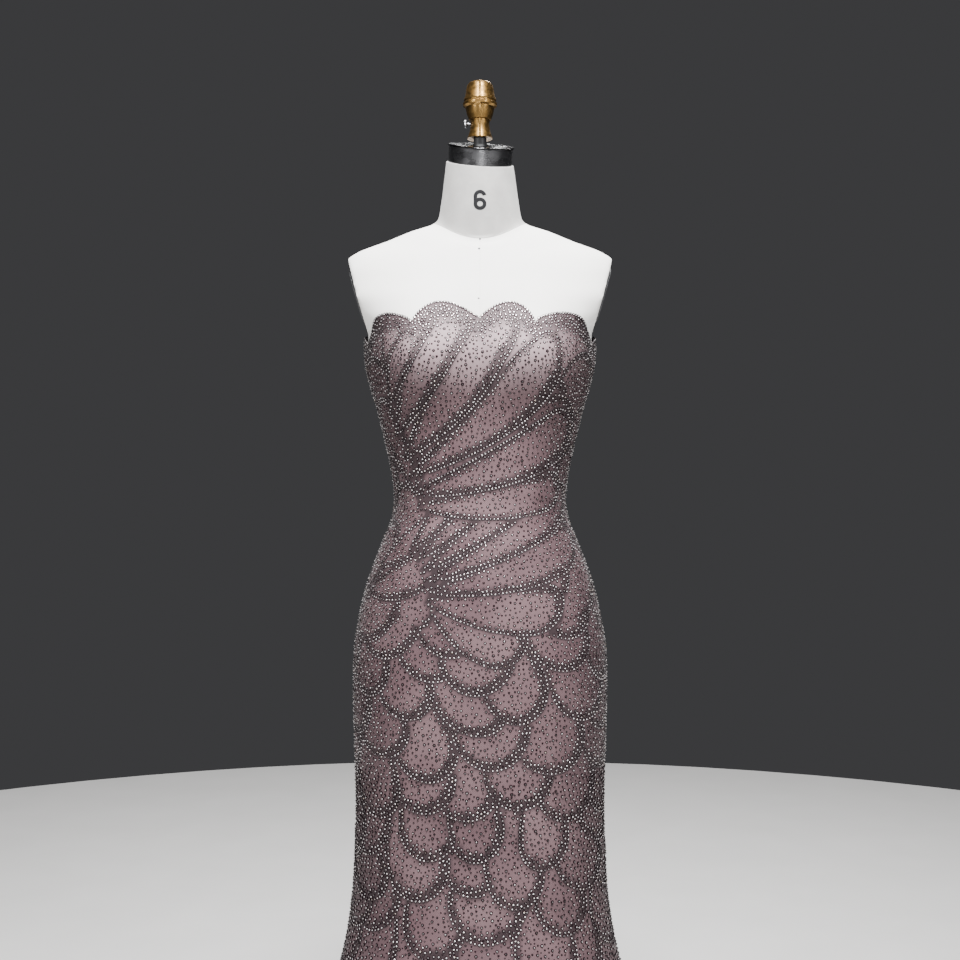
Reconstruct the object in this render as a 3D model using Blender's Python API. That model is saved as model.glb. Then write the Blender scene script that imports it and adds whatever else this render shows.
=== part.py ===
"""A strapless mermaid gown with a scalloped neckline, on a limbless dress form and its stand.

Metres, +Z up. The front faces -Y. The origin is the middle of the stand's underside, on the rod's axis.
"""

import math
from collections import namedtuple

import bmesh
import bpy
from mathutils import Matrix, Vector

# Gaps and cloth
SEAM_GAP = 0.0003
FIT_GAP = 0.0003
CLOTH_EASE = 0.0006  # between the form and the inside of the gown
NECKLINE_EASE = 0.0012  # more between them at the neckline
CLOTH_WALL = 0.0020
HEM_Z = 0.020

# How finely the round shapes are divided
SCALLOP_COLUMNS = 8  # columns of cloth to one scallop of the neckline
FORM_STRIDE = 2  # the form has every second column of the cloth
TURNED_SIDES = 24
WIDE_TURNED_SIDES = 36

# Each ring is one level round the body. z_side, z_front and z_back differ where the level tilts, as over
# the shoulders. front and back are depths from the rod's axis, without the bust. fullness is 2 for an ellipse.
Ring = namedtuple("Ring", "z_side z_front z_back half_width front back fullness")


def level(z, half_width, front, back, fullness):
    return Ring(z, z, z, half_width, front, back, fullness)


SKIRT_RINGS = (
    level(HEM_Z, 0.372, 0.312, 0.368, 2.0),
    level(0.095, 0.330, 0.272, 0.322, 2.0),
    level(0.175, 0.287, 0.231, 0.274, 2.0),
    level(0.255, 0.249, 0.195, 0.230, 2.0),
    level(0.335, 0.217, 0.163, 0.190, 2.0),
    level(0.415, 0.1885, 0.136, 0.156, 2.0),
    level(0.480, 0.1762, 0.121, 0.136, 2.0),
    level(0.545, 0.1700, 0.113, 0.127, 2.05),
    level(0.635, 0.1672, 0.110, 0.128, 2.1),
)
TORSO_RINGS = (
    level(0.720, 0.1694, 0.112, 0.138, 2.15),
    level(0.795, 0.1710, 0.114, 0.146, 2.15),
    level(0.845, 0.1700, 0.114, 0.147, 2.15),
    level(0.890, 0.1634, 0.113, 0.140, 2.1),
    level(0.928, 0.1548, 0.110, 0.127, 2.1),
    level(0.961, 0.1440, 0.106, 0.112, 2.1),
    level(0.994, 0.1312, 0.101, 0.099, 2.1),
    level(1.024, 0.1192, 0.096, 0.089, 2.1),
    level(1.052, 0.1146, 0.094, 0.085, 2.1),
    level(1.082, 0.1172, 0.095, 0.087, 2.1),
    level(1.112, 0.1228, 0.098, 0.091, 2.1),
    level(1.143, 0.1300, 0.101, 0.096, 2.15),
    level(1.177, 0.1384, 0.104, 0.101, 2.2),
    level(1.210, 0.1482, 0.106, 0.105, 2.2),
    level(1.243, 0.1550, 0.106, 0.108, 2.2),
    level(1.276, 0.1562, 0.103, 0.110, 2.2),
    Ring(1.306, 1.302, 1.306, 0.1760, 0.097, 0.110, 2.1),
    Ring(1.335, 1.326, 1.337, 0.1920, 0.089, 0.106, 2.05),
    Ring(1.362, 1.346, 1.366, 0.1920, 0.080, 0.099, 2.0),
    Ring(1.382, 1.362, 1.392, 0.1830, 0.073, 0.091, 2.0),
)
SHOULDER_RINGS = (
    Ring(1.3925, 1.373, 1.406, 0.1680, 0.068, 0.084, 2.0),
    Ring(1.4075, 1.383, 1.421, 0.1285, 0.063, 0.076, 2.0),
    Ring(1.4215, 1.392, 1.437, 0.0945, 0.058, 0.068, 2.0),
    Ring(1.4315, 1.398, 1.450, 0.0650, 0.053, 0.061, 2.0),
    Ring(1.439, 1.404, 1.458, 0.0575, 0.051, 0.056, 2.0),
    Ring(1.470, 1.447, 1.485, 0.0520, 0.049, 0.050, 2.0),
)
BODY_RINGS = SKIRT_RINGS + TORSO_RINGS + SHOULDER_RINGS
FORM_FOOT = len(SKIRT_RINGS)
CLOTH_TOP_ROW = len(BODY_RINGS) - 7  # no neckline comes near it
CLOSE_ROWS = (21, 21.5, 22, 22.5)  # over the bust, counted in rings
NECKLINE_ROWS = 6  # from the last close row up to the neckline

# The neck's top is cut on a slope, lower at the front and a little lower on the +X side.
NECK_TOP = Vector((0.0, -0.001, 1.5160))
NECK_TOP_RADIUS = 0.0464
NECK_TILT = math.radians(18.5)
NECK_ROLL = math.radians(4)

# The bust's two rises on the front of the form. The cloth bridges the hollow between them.
BUST_X, BUST_Z, BUST_RISE = 0.076, 1.238, 0.030
BUST_SPREAD_OUT, BUST_SPREAD_IN, BUST_SPREAD_UP, BUST_SPREAD_DOWN = 0.046, 0.045, 0.046, 0.040
CLOTH_SPREAD_IN = 0.066
BUST_SIDE_FADE = 1.6  # the rises are full where the sine of the angle is over 1 / 1.6

# The armholes are cut flat, leaning out towards the shoulders.
ARMHOLE_Z, ARMHOLE_X, ARMHOLE_SLOPE = 1.276, 0.1512, 0.28
PLATE_Z, PLATE_HALF_HEIGHT, PLATE_HALF_DEPTH, PLATE_Y = 1.3350, 0.0385, 0.0350, 0.004
PLATE_THICKNESS = 0.003
SMALL_ROUND = 0.0007  # of the plates', band's and slider's edges
FORM_FOOT_ROUND = 0.008

# The hem's flutes: where each stands round the hem, how wide and how deep it is.
Flute = namedtuple("Flute", "angle spread depth")
FLUTES = (
    Flute(-93, 8.5, 0.030),
    Flute(-66, 9.0, 0.036),
    Flute(-36, 10.5, 0.042),
    Flute(-6, 10.0, 0.040),
    Flute(24, 9.5, 0.038),
    Flute(53, 10.0, 0.044),
    Flute(81, 8.5, 0.036),
    Flute(107, 9.0, 0.040),
    Flute(136, 10.5, 0.044),
    Flute(166, 9.5, 0.038),
    Flute(195, 10.5, 0.040),
    Flute(224, 9.5, 0.044),
    Flute(247, 8.0, 0.032),
)
FLUTES_START_Z = 0.520
FLUTES_GROWTH = 1.6

# The neckline on the wearer's left (+X) and right, from one valley to the next, in degrees from the side seam.
# The front comes first.
Scallop = namedtuple("Scallop", "angle_from angle_to z_from z_to rise roundness")
BACK_SCALLOPS = (
    Scallop(-21, 21, 1.2600, 1.2560, 0.0165, 0.72),
    Scallop(21, 57, 1.2560, 1.2530, 0.0180, 0.72),
    Scallop(57, 90, 1.2530, 1.2520, 0.0180, 0.72),
)
LEFT_SCALLOPS = (
    Scallop(-90, -66, 1.2885, 1.2825, 0.0245, 0.85),
    Scallop(-66, -21, 1.2825, 1.2600, 0.0250, 0.62),
) + BACK_SCALLOPS
RIGHT_SCALLOPS = (
    Scallop(-90, -58.5, 1.2885, 1.2840, 0.0245, 1.1),
    Scallop(-58.5, -21, 1.2840, 1.2600, 0.0240, 0.66),
) + BACK_SCALLOPS

# The zip down the centre back. The slider's bail is an arch, and the pull's top bar lies in its foot.
ZIP_HALF_WIDTH = 0.0012
ZIP_END_ROW = 12
ZIP_TOP_Z = 1.2490
SLIDER_Z, SLIDER_SIZE = 1.2395, Vector((0.0060, 0.0026, 0.0100))
BAIL_WIDTH, BAIL_LENGTH, BAIL_POST, BAIL_ROOM, BAIL_BRIDGE = 0.0016, 0.0078, 0.0012, 0.0019, 0.0010
PULL_BAR, PULL_PLAY = 0.0011, 0.0003
PULL_WINDOW_WIDTH, PULL_WINDOW_REACH = 0.0024, 0.0034
PULL_LENGTH, PULL_WIDTH, PULL_END_WIDTH = 0.0230, 0.0048, 0.0062

# The stand, the neck's metal and the finial
ROD_RADIUS, ROD_TOP_Z = 0.009, 1.586
COLLAR_RADIUS, COLLAR_HEIGHT = 0.034, 0.008  # on the rod, under the form
SOCKET_Z = 0.006
BAND_RADIUS, BAND_HEIGHT = 0.0440, 0.0213
LID_RADIUS, LID_THICKNESS = 0.0455, 0.0022
FINIAL_Z = 1.5500
Turn = namedtuple("Turn", "height radius")
BASE_TURNS = (
    Turn(0.000, 0.167),
    Turn(0.003, 0.170),
    Turn(0.007, 0.170),
    Turn(0.010, 0.166),
    Turn(0.014, 0.102),
    Turn(0.020, 0.034),
    Turn(0.030, 0.024),
    Turn(0.046, 0.020),
)
FINIAL_TURNS = (
    Turn(0.0000, 0.0172),
    Turn(0.0030, 0.0165),
    Turn(0.0100, 0.0140),
    Turn(0.0190, 0.0127),
    Turn(0.0255, 0.0133),
    Turn(0.0260, 0.0152),
    Turn(0.0335, 0.0180),
    Turn(0.0430, 0.0200),
    Turn(0.0452, 0.0232),
    Turn(0.0485, 0.0236),
    Turn(0.0500, 0.0216),
    Turn(0.0515, 0.0216),
    Turn(0.0530, 0.0224),
    Turn(0.0560, 0.0216),
    Turn(0.0585, 0.0203),
    Turn(0.0680, 0.0189),
    Turn(0.0735, 0.0176),
    Turn(0.0769, 0.0150),
    Turn(0.0780, 0.0115),
)
SCREW_HEIGHT = 0.0205  # of the thumb screw's axis above the finial's foot
SCREW_TURNS = (
    Turn(0.0093, 0.0020),
    Turn(0.0170, 0.0020),
    Turn(0.0187, 0.0030),
    Turn(0.0188, 0.0050),
    Turn(0.0193, 0.0055),
    Turn(0.0212, 0.0055),
    Turn(0.0217, 0.0049),
)

Finish = namedtuple("Finish", "colour roughness metallic")
FINISHES = {
    "beaded_cloth": Finish((0.42, 0.33, 0.34), 0.55, 0.0),
    "form_cover": Finish((0.86, 0.85, 0.83), 0.80, 0.0),
    "dark_steel": Finish((0.16, 0.16, 0.17), 0.35, 0.9),
    "bright_steel": Finish((0.62, 0.62, 0.64), 0.25, 1.0),
    "cast_brass": Finish((0.62, 0.45, 0.20), 0.40, 1.0),
    "zip_metal": Finish((0.45, 0.36, 0.36), 0.35, 0.9),
}


# Scene, materials and objects


def clear_scene():
    for thing in list(bpy.data.objects):
        bpy.data.objects.remove(thing, do_unlink=True)


def make_material(name):
    finish = FINISHES[name]
    material = bpy.data.materials.new(name)
    material.use_nodes = True
    shader = material.node_tree.nodes["Principled BSDF"]
    shader.inputs["Base Color"].default_value = (*finish.colour, 1.0)
    shader.inputs["Roughness"].default_value = finish.roughness
    shader.inputs["Metallic"].default_value = finish.metallic
    return material


def add_object(name, bm, material, sharp_degrees=35):
    mesh = bpy.data.meshes.new(name)
    bm.to_mesh(mesh)
    bm.free()
    mesh.shade_smooth()
    mesh.set_sharp_from_angle(angle=math.radians(sharp_degrees))
    if material is not None:
        mesh.materials.append(material)
    thing = bpy.data.objects.new(name, mesh)
    bpy.context.scene.collection.objects.link(thing)
    return thing


def add_helper(name, bm):
    """A cutter or a joined shape, which is no piece of its own."""
    thing = add_object(name, bm, None)
    thing.hide_render = True
    thing.display_type = "WIRE"
    return thing


def add_boolean(thing, other, operation):
    modifier = thing.modifiers.new(other.name, "BOOLEAN")
    modifier.operation = operation
    modifier.object = other
    modifier.solver = "EXACT"


# The body's surface


def eased(values, at):
    """A smooth value at a fractional row, through every row and never past its neighbours."""
    low = min(int(at), len(values) - 2)
    share = at - low

    def slope(row):
        if row == 0:
            return values[1] - values[0]
        if row == len(values) - 1:
            return values[-1] - values[-2]
        before = values[row] - values[row - 1]
        after = values[row + 1] - values[row]
        return 0.0 if before * after <= 0 else 2 * before * after / (before + after)

    square = share * share
    cube = square * share
    return (
        values[low] * (2 * cube - 3 * square + 1)
        + slope(low) * (cube - 2 * square + share)
        + values[low + 1] * (3 * square - 2 * cube)
        + slope(low + 1) * (cube - square)
    )


RING_COLUMNS = tuple(zip(*BODY_RINGS))


def ring_at(row):
    return Ring(*(eased(column, row) for column in RING_COLUMNS))


def bust_rise(x, z, spread_in):
    across = (abs(x) - BUST_X) / (BUST_SPREAD_OUT if abs(x) > BUST_X else spread_in)
    up = (z - BUST_Z) / (BUST_SPREAD_UP if z > BUST_Z else BUST_SPREAD_DOWN)
    return BUST_RISE * math.exp(-(across**2 + up**2) / 2)


def signed_power(value, power):
    return math.copysign(abs(value) ** power, value)


def body_point(angle, row, ease=0.0, spread_in=BUST_SPREAD_IN):
    """The body at an angle round it, in radians from +X, grown outwards by ease."""
    ring = ring_at(row)
    across, along = math.cos(angle), math.sin(angle)
    z_end = ring.z_front if along < 0 else ring.z_back
    z = ring.z_side * across**2 + z_end * along**2
    depth = (ring.front if along < 0 else ring.back) + ease
    power = 2 / ring.fullness
    x = signed_power(across, power) * (ring.half_width + ease)
    y = signed_power(along, power) * depth
    flat = ARMHOLE_X + abs(z - ARMHOLE_Z) * ARMHOLE_SLOPE + ease
    if z > ARMHOLE_Z - 0.03:
        x = max(-flat, min(flat, x))
    if along < 0:
        y -= bust_rise(x, z, spread_in) * min(1.0, abs(along) * BUST_SIDE_FADE)
    return Vector((x, y, z))


def flute_depth(angle, z):
    if z >= FLUTES_START_Z:
        return 0.0
    growth = ((FLUTES_START_Z - z) / (FLUTES_START_Z - HEM_Z)) ** FLUTES_GROWTH
    degrees = math.degrees(angle)
    depth = 0.0
    for flute in FLUTES:
        away = (degrees - flute.angle + 180) % 360 - 180
        depth += flute.depth * math.exp(-((away / flute.spread) ** 2))
    return growth * depth


def cloth_point(angle, row):
    """The inside of the gown."""
    up_the_bust = min(1.0, max(0.0, (row - CLOSE_ROWS[-1]) / 2))
    point = body_point(angle, row, CLOTH_EASE + NECKLINE_EASE * up_the_bust, CLOTH_SPREAD_IN)
    out = Vector((math.cos(angle), math.sin(angle), 0.0))
    return point + out * flute_depth(angle, point.z)


def cloth_outside(angle, row):
    """The outside of the gown, one wall out from the inside."""
    step_angle, step_row = 0.02, 0.1  # apart enough to give the cloth's slope
    row_above, row_below = min(row + step_row, CLOTH_TOP_ROW), max(row - step_row, 0)
    along = cloth_point(angle + step_angle, row) - cloth_point(angle - step_angle, row)
    up = cloth_point(angle, row_above) - cloth_point(angle, row_below)
    return cloth_point(angle, row) + along.cross(up).normalized() * CLOTH_WALL


# The gown


def neckline_z(angle):
    """The neckline's height at an angle in radians."""
    degrees = (math.degrees(angle) + 90.0001) % 360 - 90.0001
    scallops = LEFT_SCALLOPS if degrees <= 90 else RIGHT_SCALLOPS
    degrees = degrees if degrees <= 90 else 180 - degrees
    for scallop in scallops:
        if degrees <= scallop.angle_to + 0.001:
            share = (degrees - scallop.angle_from) / (scallop.angle_to - scallop.angle_from)
            share = min(1.0, max(0.0, share))
            chord_z = scallop.z_from + (scallop.z_to - scallop.z_from) * share
            return chord_z + scallop.rise * math.sin(math.pi * share) ** scallop.roundness
    return BACK_SCALLOPS[-1].z_to


def row_at(angle, z):
    """The row of the cloth that is at height z at this angle."""
    low, high = 0.0, float(CLOTH_TOP_ROW)
    for _ in range(30):
        middle = (low + high) / 2
        if cloth_point(angle, middle).z < z:
            low = middle
        else:
            high = middle
    return (low + high) / 2


def column_angles():
    """The angle of every column in radians, from the centre front round by +X, an equal count to a scallop."""
    left, right = [], []
    for half, scallops in ((left, LEFT_SCALLOPS), (right, RIGHT_SCALLOPS)):
        for scallop in scallops:
            width = scallop.angle_to - scallop.angle_from
            half += [scallop.angle_from + width * step / SCALLOP_COLUMNS for step in range(SCALLOP_COLUMNS)]
    right = [180 - degrees for degrees in reversed(right)]
    return [math.radians(degrees) for degrees in left + [90.0] + right]


def even_rows():
    return list(range(math.ceil(CLOSE_ROWS[0]))) + list(CLOSE_ROWS)


def cloth_rows(angle):
    """The rows of one column, from the hem up to the neckline."""
    top = row_at(angle, neckline_z(angle))
    last = CLOSE_ROWS[-1]
    return even_rows() + [last + (top - last) * (step + 1) / NECKLINE_ROWS for step in range(NECKLINE_ROWS)]


def wall_mesh(columns, rows, place):
    """Closed cloth: an inner and an outer layer joined round the rim. place(column, row, outer) gives a point."""
    bm = bmesh.new()
    bmesh.ops.create_grid(bm, x_segments=columns - 1, y_segments=rows - 1, size=1.0)
    inner = list(bm.verts)
    made = bmesh.ops.extrude_face_region(bm, geom=list(bm.faces))
    outer = [item for item in made["geom"] if isinstance(item, bmesh.types.BMVert)]
    for layer, is_outer in ((inner, False), (outer, True)):
        for vert in layer:
            column = round((vert.co.x + 1) / 2 * (columns - 1))
            row = round((vert.co.y + 1) / 2 * (rows - 1))
            vert.co = place(column, row, is_outer)
    bmesh.ops.recalc_face_normals(bm, faces=bm.faces)
    return bm


def make_gown(material):
    angles = column_angles()
    quarter = len(angles) // 4
    # The angles run from the centre front round to it again, so the front's two halves are joined here.
    turns = {
        "gown_front": [angle - math.tau for angle in angles[3 * quarter : -1]] + angles[: quarter + 1],
        "gown_back_left": angles[quarter : 2 * quarter + 1],
        "gown_back_right": angles[2 * quarter : 3 * quarter + 1],
    }
    zip_gap = ZIP_HALF_WIDTH + SEAM_GAP
    for name, turn in turns.items():
        rows_by_column = [cloth_rows(angle) for angle in turn]

        def place(column, row, is_outer):
            angle, at_row = turn[column], rows_by_column[column][row]
            point = cloth_outside(angle, at_row) if is_outer else cloth_point(angle, at_row)
            if column not in (0, len(turn) - 1):
                return point
            if abs(math.cos(angle)) > 0.9:
                point.y = SEAM_GAP / 2 if "back" in name else -SEAM_GAP / 2
            else:
                point.x = zip_gap if row >= ZIP_END_ROW else SEAM_GAP / 2
                point.x *= 1 if name == "gown_back_left" else -1
            return point

        add_object(name, wall_mesh(len(turn), len(rows_by_column[0]), place), material)


def make_zip(cloth, metal):
    """The zip's strip between the two backs, its slider with a bail, and the pull that swings in the bail."""
    back = math.pi / 2
    rows = [row_at(back, cloth_point(back, ZIP_END_ROW).z + SEAM_GAP)]
    rows += [row for row in cloth_rows(back) if row > ZIP_END_ROW and cloth_point(back, row).z < ZIP_TOP_Z - 0.001]
    rows.append(row_at(back, ZIP_TOP_Z))

    def place(column, row, is_outer):
        point = cloth_outside(back, rows[row]) if is_outer else cloth_point(back, rows[row])
        point.x = ZIP_HALF_WIDTH if column == 0 else -ZIP_HALF_WIDTH
        return point

    add_object("zip_strip", wall_mesh(2, len(rows), place), cloth)

    heights = [SLIDER_Z + SLIDER_SIZE.z * share for share in (-0.5, -0.25, 0.0, 0.25, 0.5)]
    cloth_y = max(cloth_outside(back, row_at(back, z)).y for z in heights)
    centre = Vector((0.0, cloth_y + FIT_GAP + SLIDER_SIZE.y / 2, SLIDER_Z))
    slider = add_object("zip_slider", box_mesh(centre, SLIDER_SIZE), metal)
    face_y = centre.y + SLIDER_SIZE.y / 2
    sunk = BAIL_POST / 2
    bridge_y = face_y + BAIL_ROOM + BAIL_BRIDGE / 2
    post_y = (face_y - sunk + bridge_y + BAIL_BRIDGE / 2) / 2
    post_size = Vector((BAIL_WIDTH, BAIL_ROOM + BAIL_BRIDGE + sunk, BAIL_POST))
    post_z = (BAIL_LENGTH - BAIL_POST) / 2
    for side in (-1, 1):
        post = box_mesh(Vector((0.0, post_y, SLIDER_Z + side * post_z)), post_size)
        add_boolean(slider, add_helper(f"bail_post_{side}", post), "UNION")
    bridge = box_mesh(Vector((0.0, bridge_y, SLIDER_Z)), Vector((BAIL_WIDTH, BAIL_BRIDGE, BAIL_LENGTH)))
    add_boolean(slider, add_helper("bail_bridge", bridge), "UNION")
    bevel = slider.modifiers.new("round", "BEVEL")
    bevel.width, bevel.segments = SMALL_ROUND / 4, 1
    foot_z = SLIDER_Z - BAIL_LENGTH / 2 + BAIL_POST
    make_pull(Vector((0.0, face_y + BAIL_ROOM / 2, foot_z + PULL_PLAY + PULL_BAR / 2)), metal)


def make_pull(pivot, metal):
    """A flat pull hanging from its top bar, whose middle is the pivot."""
    half, half_end, top = PULL_WIDTH / 2, PULL_END_WIDTH / 2, PULL_BAR / 2
    end_centre = -PULL_LENGTH + half_end
    outline = [(-half, top), (-half, -PULL_WINDOW_REACH - PULL_BAR)]
    for step in range(9):
        turn = math.pi * step / 8
        outline.append((-half_end * math.cos(turn), end_centre - half_end * math.sin(turn)))
    outline += [(half, -PULL_WINDOW_REACH - PULL_BAR), (half, top)]
    bm = bmesh.new()
    face = bm.faces.new([bm.verts.new((x, -PULL_BAR / 2, z)) for x, z in outline])
    made = bmesh.ops.extrude_face_region(bm, geom=[face])
    moved = [item for item in made["geom"] if isinstance(item, bmesh.types.BMVert)]
    bmesh.ops.translate(bm, verts=moved, vec=(0.0, PULL_BAR, 0.0))
    bmesh.ops.recalc_face_normals(bm, faces=bm.faces)
    pull = add_object("zip_pull", bm, metal)
    pull.location = pivot
    window_centre = pivot - Vector((0.0, 0.0, (PULL_BAR / 2 + PULL_WINDOW_REACH) / 2))
    window_size = Vector((PULL_WINDOW_WIDTH, 0.01, PULL_WINDOW_REACH - PULL_BAR / 2))
    add_boolean(pull, add_helper("pull_window_cutter", box_mesh(window_centre, window_size)), "DIFFERENCE")


# The dress form and its stand


def box_mesh(centre, size):
    bm = bmesh.new()
    bmesh.ops.create_cube(bm, size=1.0, matrix=Matrix.Translation(centre) @ Matrix.Diagonal((*size, 1.0)))
    return bm


def neck_plane():
    """Turns a level thing round the rod into one that lies in the neck's sloping top."""
    return Matrix.Translation(NECK_TOP) @ Matrix.Rotation(NECK_ROLL, 4, "Y") @ Matrix.Rotation(NECK_TILT, 4, "X")


def rod_cutter(name, z_from, z_to):
    bm = bmesh.new()
    bmesh.ops.create_cone(
        bm,
        cap_ends=True,
        segments=TURNED_SIDES,
        radius1=ROD_RADIUS + FIT_GAP,
        radius2=ROD_RADIUS + FIT_GAP,
        depth=z_to - z_from,
        matrix=Matrix.Translation((0.0, 0.0, (z_from + z_to) / 2)),
    )
    return add_helper(name, bm)


def form_rows():
    """The gown's rows from the form's foot up to the bust, and its own from there to the neck."""
    close = [CLOSE_ROWS[-1] + 0.5 * step for step in range(1, 6)]
    higher = range(math.ceil(close[-1]), len(BODY_RINGS))
    return [row for row in even_rows() if row >= FORM_FOOT] + close + [row for row in higher if row > close[-1]]


def make_form(material):
    rows = form_rows()
    angles = column_angles()[::FORM_STRIDE]
    to_neck = neck_plane()
    bm = bmesh.new()
    bmesh.ops.create_grid(bm, x_segments=len(angles) - 1, y_segments=len(rows), size=1.0)
    for vert in bm.verts:
        angle = angles[round((vert.co.x + 1) / 2 * (len(angles) - 1))]
        index = round((vert.co.y + 1) / 2 * len(rows))
        if index < len(rows):
            vert.co = body_point(angle, rows[index])
        else:
            vert.co = to_neck @ Vector((math.cos(angle) * NECK_TOP_RADIUS, math.sin(angle) * NECK_TOP_RADIUS, 0.0))
    bmesh.ops.remove_doubles(bm, verts=bm.verts, dist=0.0001)
    bmesh.ops.edgeloop_fill(bm, edges=[edge for edge in bm.edges if edge.is_boundary])
    bmesh.ops.recalc_face_normals(bm, faces=bm.faces)
    foot_z = BODY_RINGS[FORM_FOOT].z_side
    foot = [edge for edge in bm.edges if all(abs(vert.co.z - foot_z) < 0.0001 for vert in edge.verts)]
    bmesh.ops.bevel(bm, geom=foot, offset=FORM_FOOT_ROUND, segments=2, profile=0.5, affect="EDGES", material=-1)
    form = add_object("form_body", bm, material)
    add_boolean(form, rod_cutter("form_rod_cutter", foot_z - 0.1, NECK_TOP.z + 0.1), "DIFFERENCE")


def make_arm_plate(name, side, material):
    """A flat oval plate on an armhole, leaning as the armhole does."""
    lean = math.atan(ARMHOLE_SLOPE)
    x = ARMHOLE_X + (PLATE_Z - ARMHOLE_Z) * ARMHOLE_SLOPE
    out = Vector((math.cos(lean), 0.0, -math.sin(lean)))
    centre = Vector((x, PLATE_Y, PLATE_Z)) + out * (FIT_GAP + PLATE_THICKNESS / 2)
    bm = bmesh.new()
    bmesh.ops.create_cone(bm, cap_ends=True, segments=28, radius1=1.0, radius2=1.0, depth=1.0)
    bmesh.ops.scale(bm, verts=bm.verts, vec=(PLATE_HALF_HEIGHT, PLATE_HALF_DEPTH, PLATE_THICKNESS))
    rims = [edge for edge in bm.edges if abs(edge.verts[0].co.z - edge.verts[1].co.z) < 0.0001]
    bmesh.ops.bevel(bm, geom=rims, offset=SMALL_ROUND, segments=1, profile=0.5, affect="EDGES", material=-1)
    place = Matrix.Translation(centre) @ Matrix.Rotation(math.pi / 2 + lean, 4, "Y")
    bmesh.ops.transform(bm, verts=bm.verts, matrix=place)
    if side < 0:
        bmesh.ops.scale(bm, verts=bm.verts, vec=(-1, 1, 1))
        bmesh.ops.reverse_faces(bm, faces=bm.faces)
    add_object(name, bm, material)


def turned_mesh(outline, sides):
    """A closed outline of (radius, z) spun round the Z axis."""
    bm = bmesh.new()
    verts = [bm.verts.new((radius, 0.0, z)) for radius, z in outline]
    edges = [bm.edges.new(pair) for pair in zip(verts, verts[1:] + verts[:1])]
    bmesh.ops.spin(
        bm, geom=verts + edges, cent=(0, 0, 0), axis=(0, 0, 1), angle=math.tau, steps=sides, use_merge=True
    )
    bmesh.ops.remove_doubles(bm, verts=bm.verts, dist=0.00001)
    bmesh.ops.dissolve_degenerate(bm, dist=0.00001, edges=bm.edges)
    bmesh.ops.recalc_face_normals(bm, faces=bm.faces)
    return bm


def make_neck_metal(steel):
    """The band round the neck's top and its lid, both holed for the rod."""
    for name, radius, foot, thickness in (
        ("neck_band", BAND_RADIUS, FIT_GAP, BAND_HEIGHT),
        ("neck_lid", LID_RADIUS, BAND_HEIGHT + 2 * FIT_GAP, LID_THICKNESS),
    ):
        soft = min(SMALL_ROUND, thickness / 4)
        top = foot + thickness
        outline = (
            (0.0, foot),
            (radius - soft, foot),
            (radius, foot + soft),
            (radius, top - soft),
            (radius - soft, top),
            (0.0, top),
        )
        bm = turned_mesh(outline, WIDE_TURNED_SIDES)
        bmesh.ops.transform(bm, verts=bm.verts, matrix=neck_plane())
        piece = add_object(name, bm, steel)
        add_boolean(piece, rod_cutter(name + "_rod_cutter", NECK_TOP.z - 0.1, NECK_TOP.z + 0.1), "DIFFERENCE")


def make_finial(brass, steel):
    bore, bore_depth = ROD_RADIUS + FIT_GAP, ROD_TOP_Z + FIT_GAP - FINIAL_Z
    outline = [(turn.radius, turn.height) for turn in FINIAL_TURNS]
    outline += [(0.0, FINIAL_TURNS[-1].height), (0.0, bore_depth), (bore, bore_depth), (bore, 0.0)]
    finial = add_object("finial", turned_mesh(outline, TURNED_SIDES), brass)
    finial.location = (0.0, 0.0, FINIAL_Z)
    screw_z = FINIAL_Z + SCREW_HEIGHT
    hole_radius = SCREW_TURNS[0].radius + FIT_GAP
    hole = bmesh.new()
    bmesh.ops.create_cone(
        hole,
        cap_ends=True,
        segments=16,
        radius1=hole_radius,
        radius2=hole_radius,
        depth=2 * ROD_RADIUS,
        matrix=Matrix.Translation((-1.6 * ROD_RADIUS, 0.0, screw_z)) @ Matrix.Rotation(math.pi / 2, 4, "Y"),
    )
    add_boolean(finial, add_helper("screw_hole_cutter", hole), "DIFFERENCE")
    outline = [(turn.radius, turn.height) for turn in SCREW_TURNS]
    outline = [(0.0, SCREW_TURNS[0].height)] + outline + [(0.0, SCREW_TURNS[-1].height)]
    screw = add_object("thumb_screw", turned_mesh(outline, 16), steel)
    screw.location = (0.0, 0.0, screw_z)
    screw.rotation_euler = (0.0, -math.pi / 2, 0.0)


def make_stand(steel):
    """A round base with a socket, and the rod that carries the form on a collar and ends in the finial."""
    socket = ROD_RADIUS + FIT_GAP
    outline = [(0.0, 0.0)] + [(turn.radius, turn.height) for turn in BASE_TURNS]
    outline += [(socket, BASE_TURNS[-1].height), (socket, SOCKET_Z), (0.0, SOCKET_Z)]
    add_object("stand_base", turned_mesh(outline, WIDE_TURNED_SIDES), steel)
    foot = SOCKET_Z + FIT_GAP
    collar_top = BODY_RINGS[FORM_FOOT].z_side - FIT_GAP
    collar_foot = collar_top - COLLAR_HEIGHT
    outline = (
        (0.0, foot),
        (ROD_RADIUS, foot),
        (ROD_RADIUS, collar_foot),
        (COLLAR_RADIUS, collar_foot),
        (COLLAR_RADIUS, collar_top),
        (ROD_RADIUS, collar_top),
        (ROD_RADIUS, ROD_TOP_Z),
        (0.0, ROD_TOP_Z),
    )
    add_object("rod", turned_mesh(outline, TURNED_SIDES), steel)


def main():
    clear_scene()
    materials = {name: make_material(name) for name in FINISHES}
    make_gown(materials["beaded_cloth"])
    make_zip(materials["beaded_cloth"], materials["zip_metal"])
    make_form(materials["form_cover"])
    make_arm_plate("arm_plate_left", 1, materials["dark_steel"])
    make_arm_plate("arm_plate_right", -1, materials["dark_steel"])
    make_neck_metal(materials["bright_steel"])
    make_finial(materials["cast_brass"], materials["bright_steel"])
    make_stand(materials["dark_steel"])


main()
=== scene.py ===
"""A beaded mermaid gown on its dress form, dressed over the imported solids."""

import math
from collections import namedtuple
from functools import cache

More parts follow.
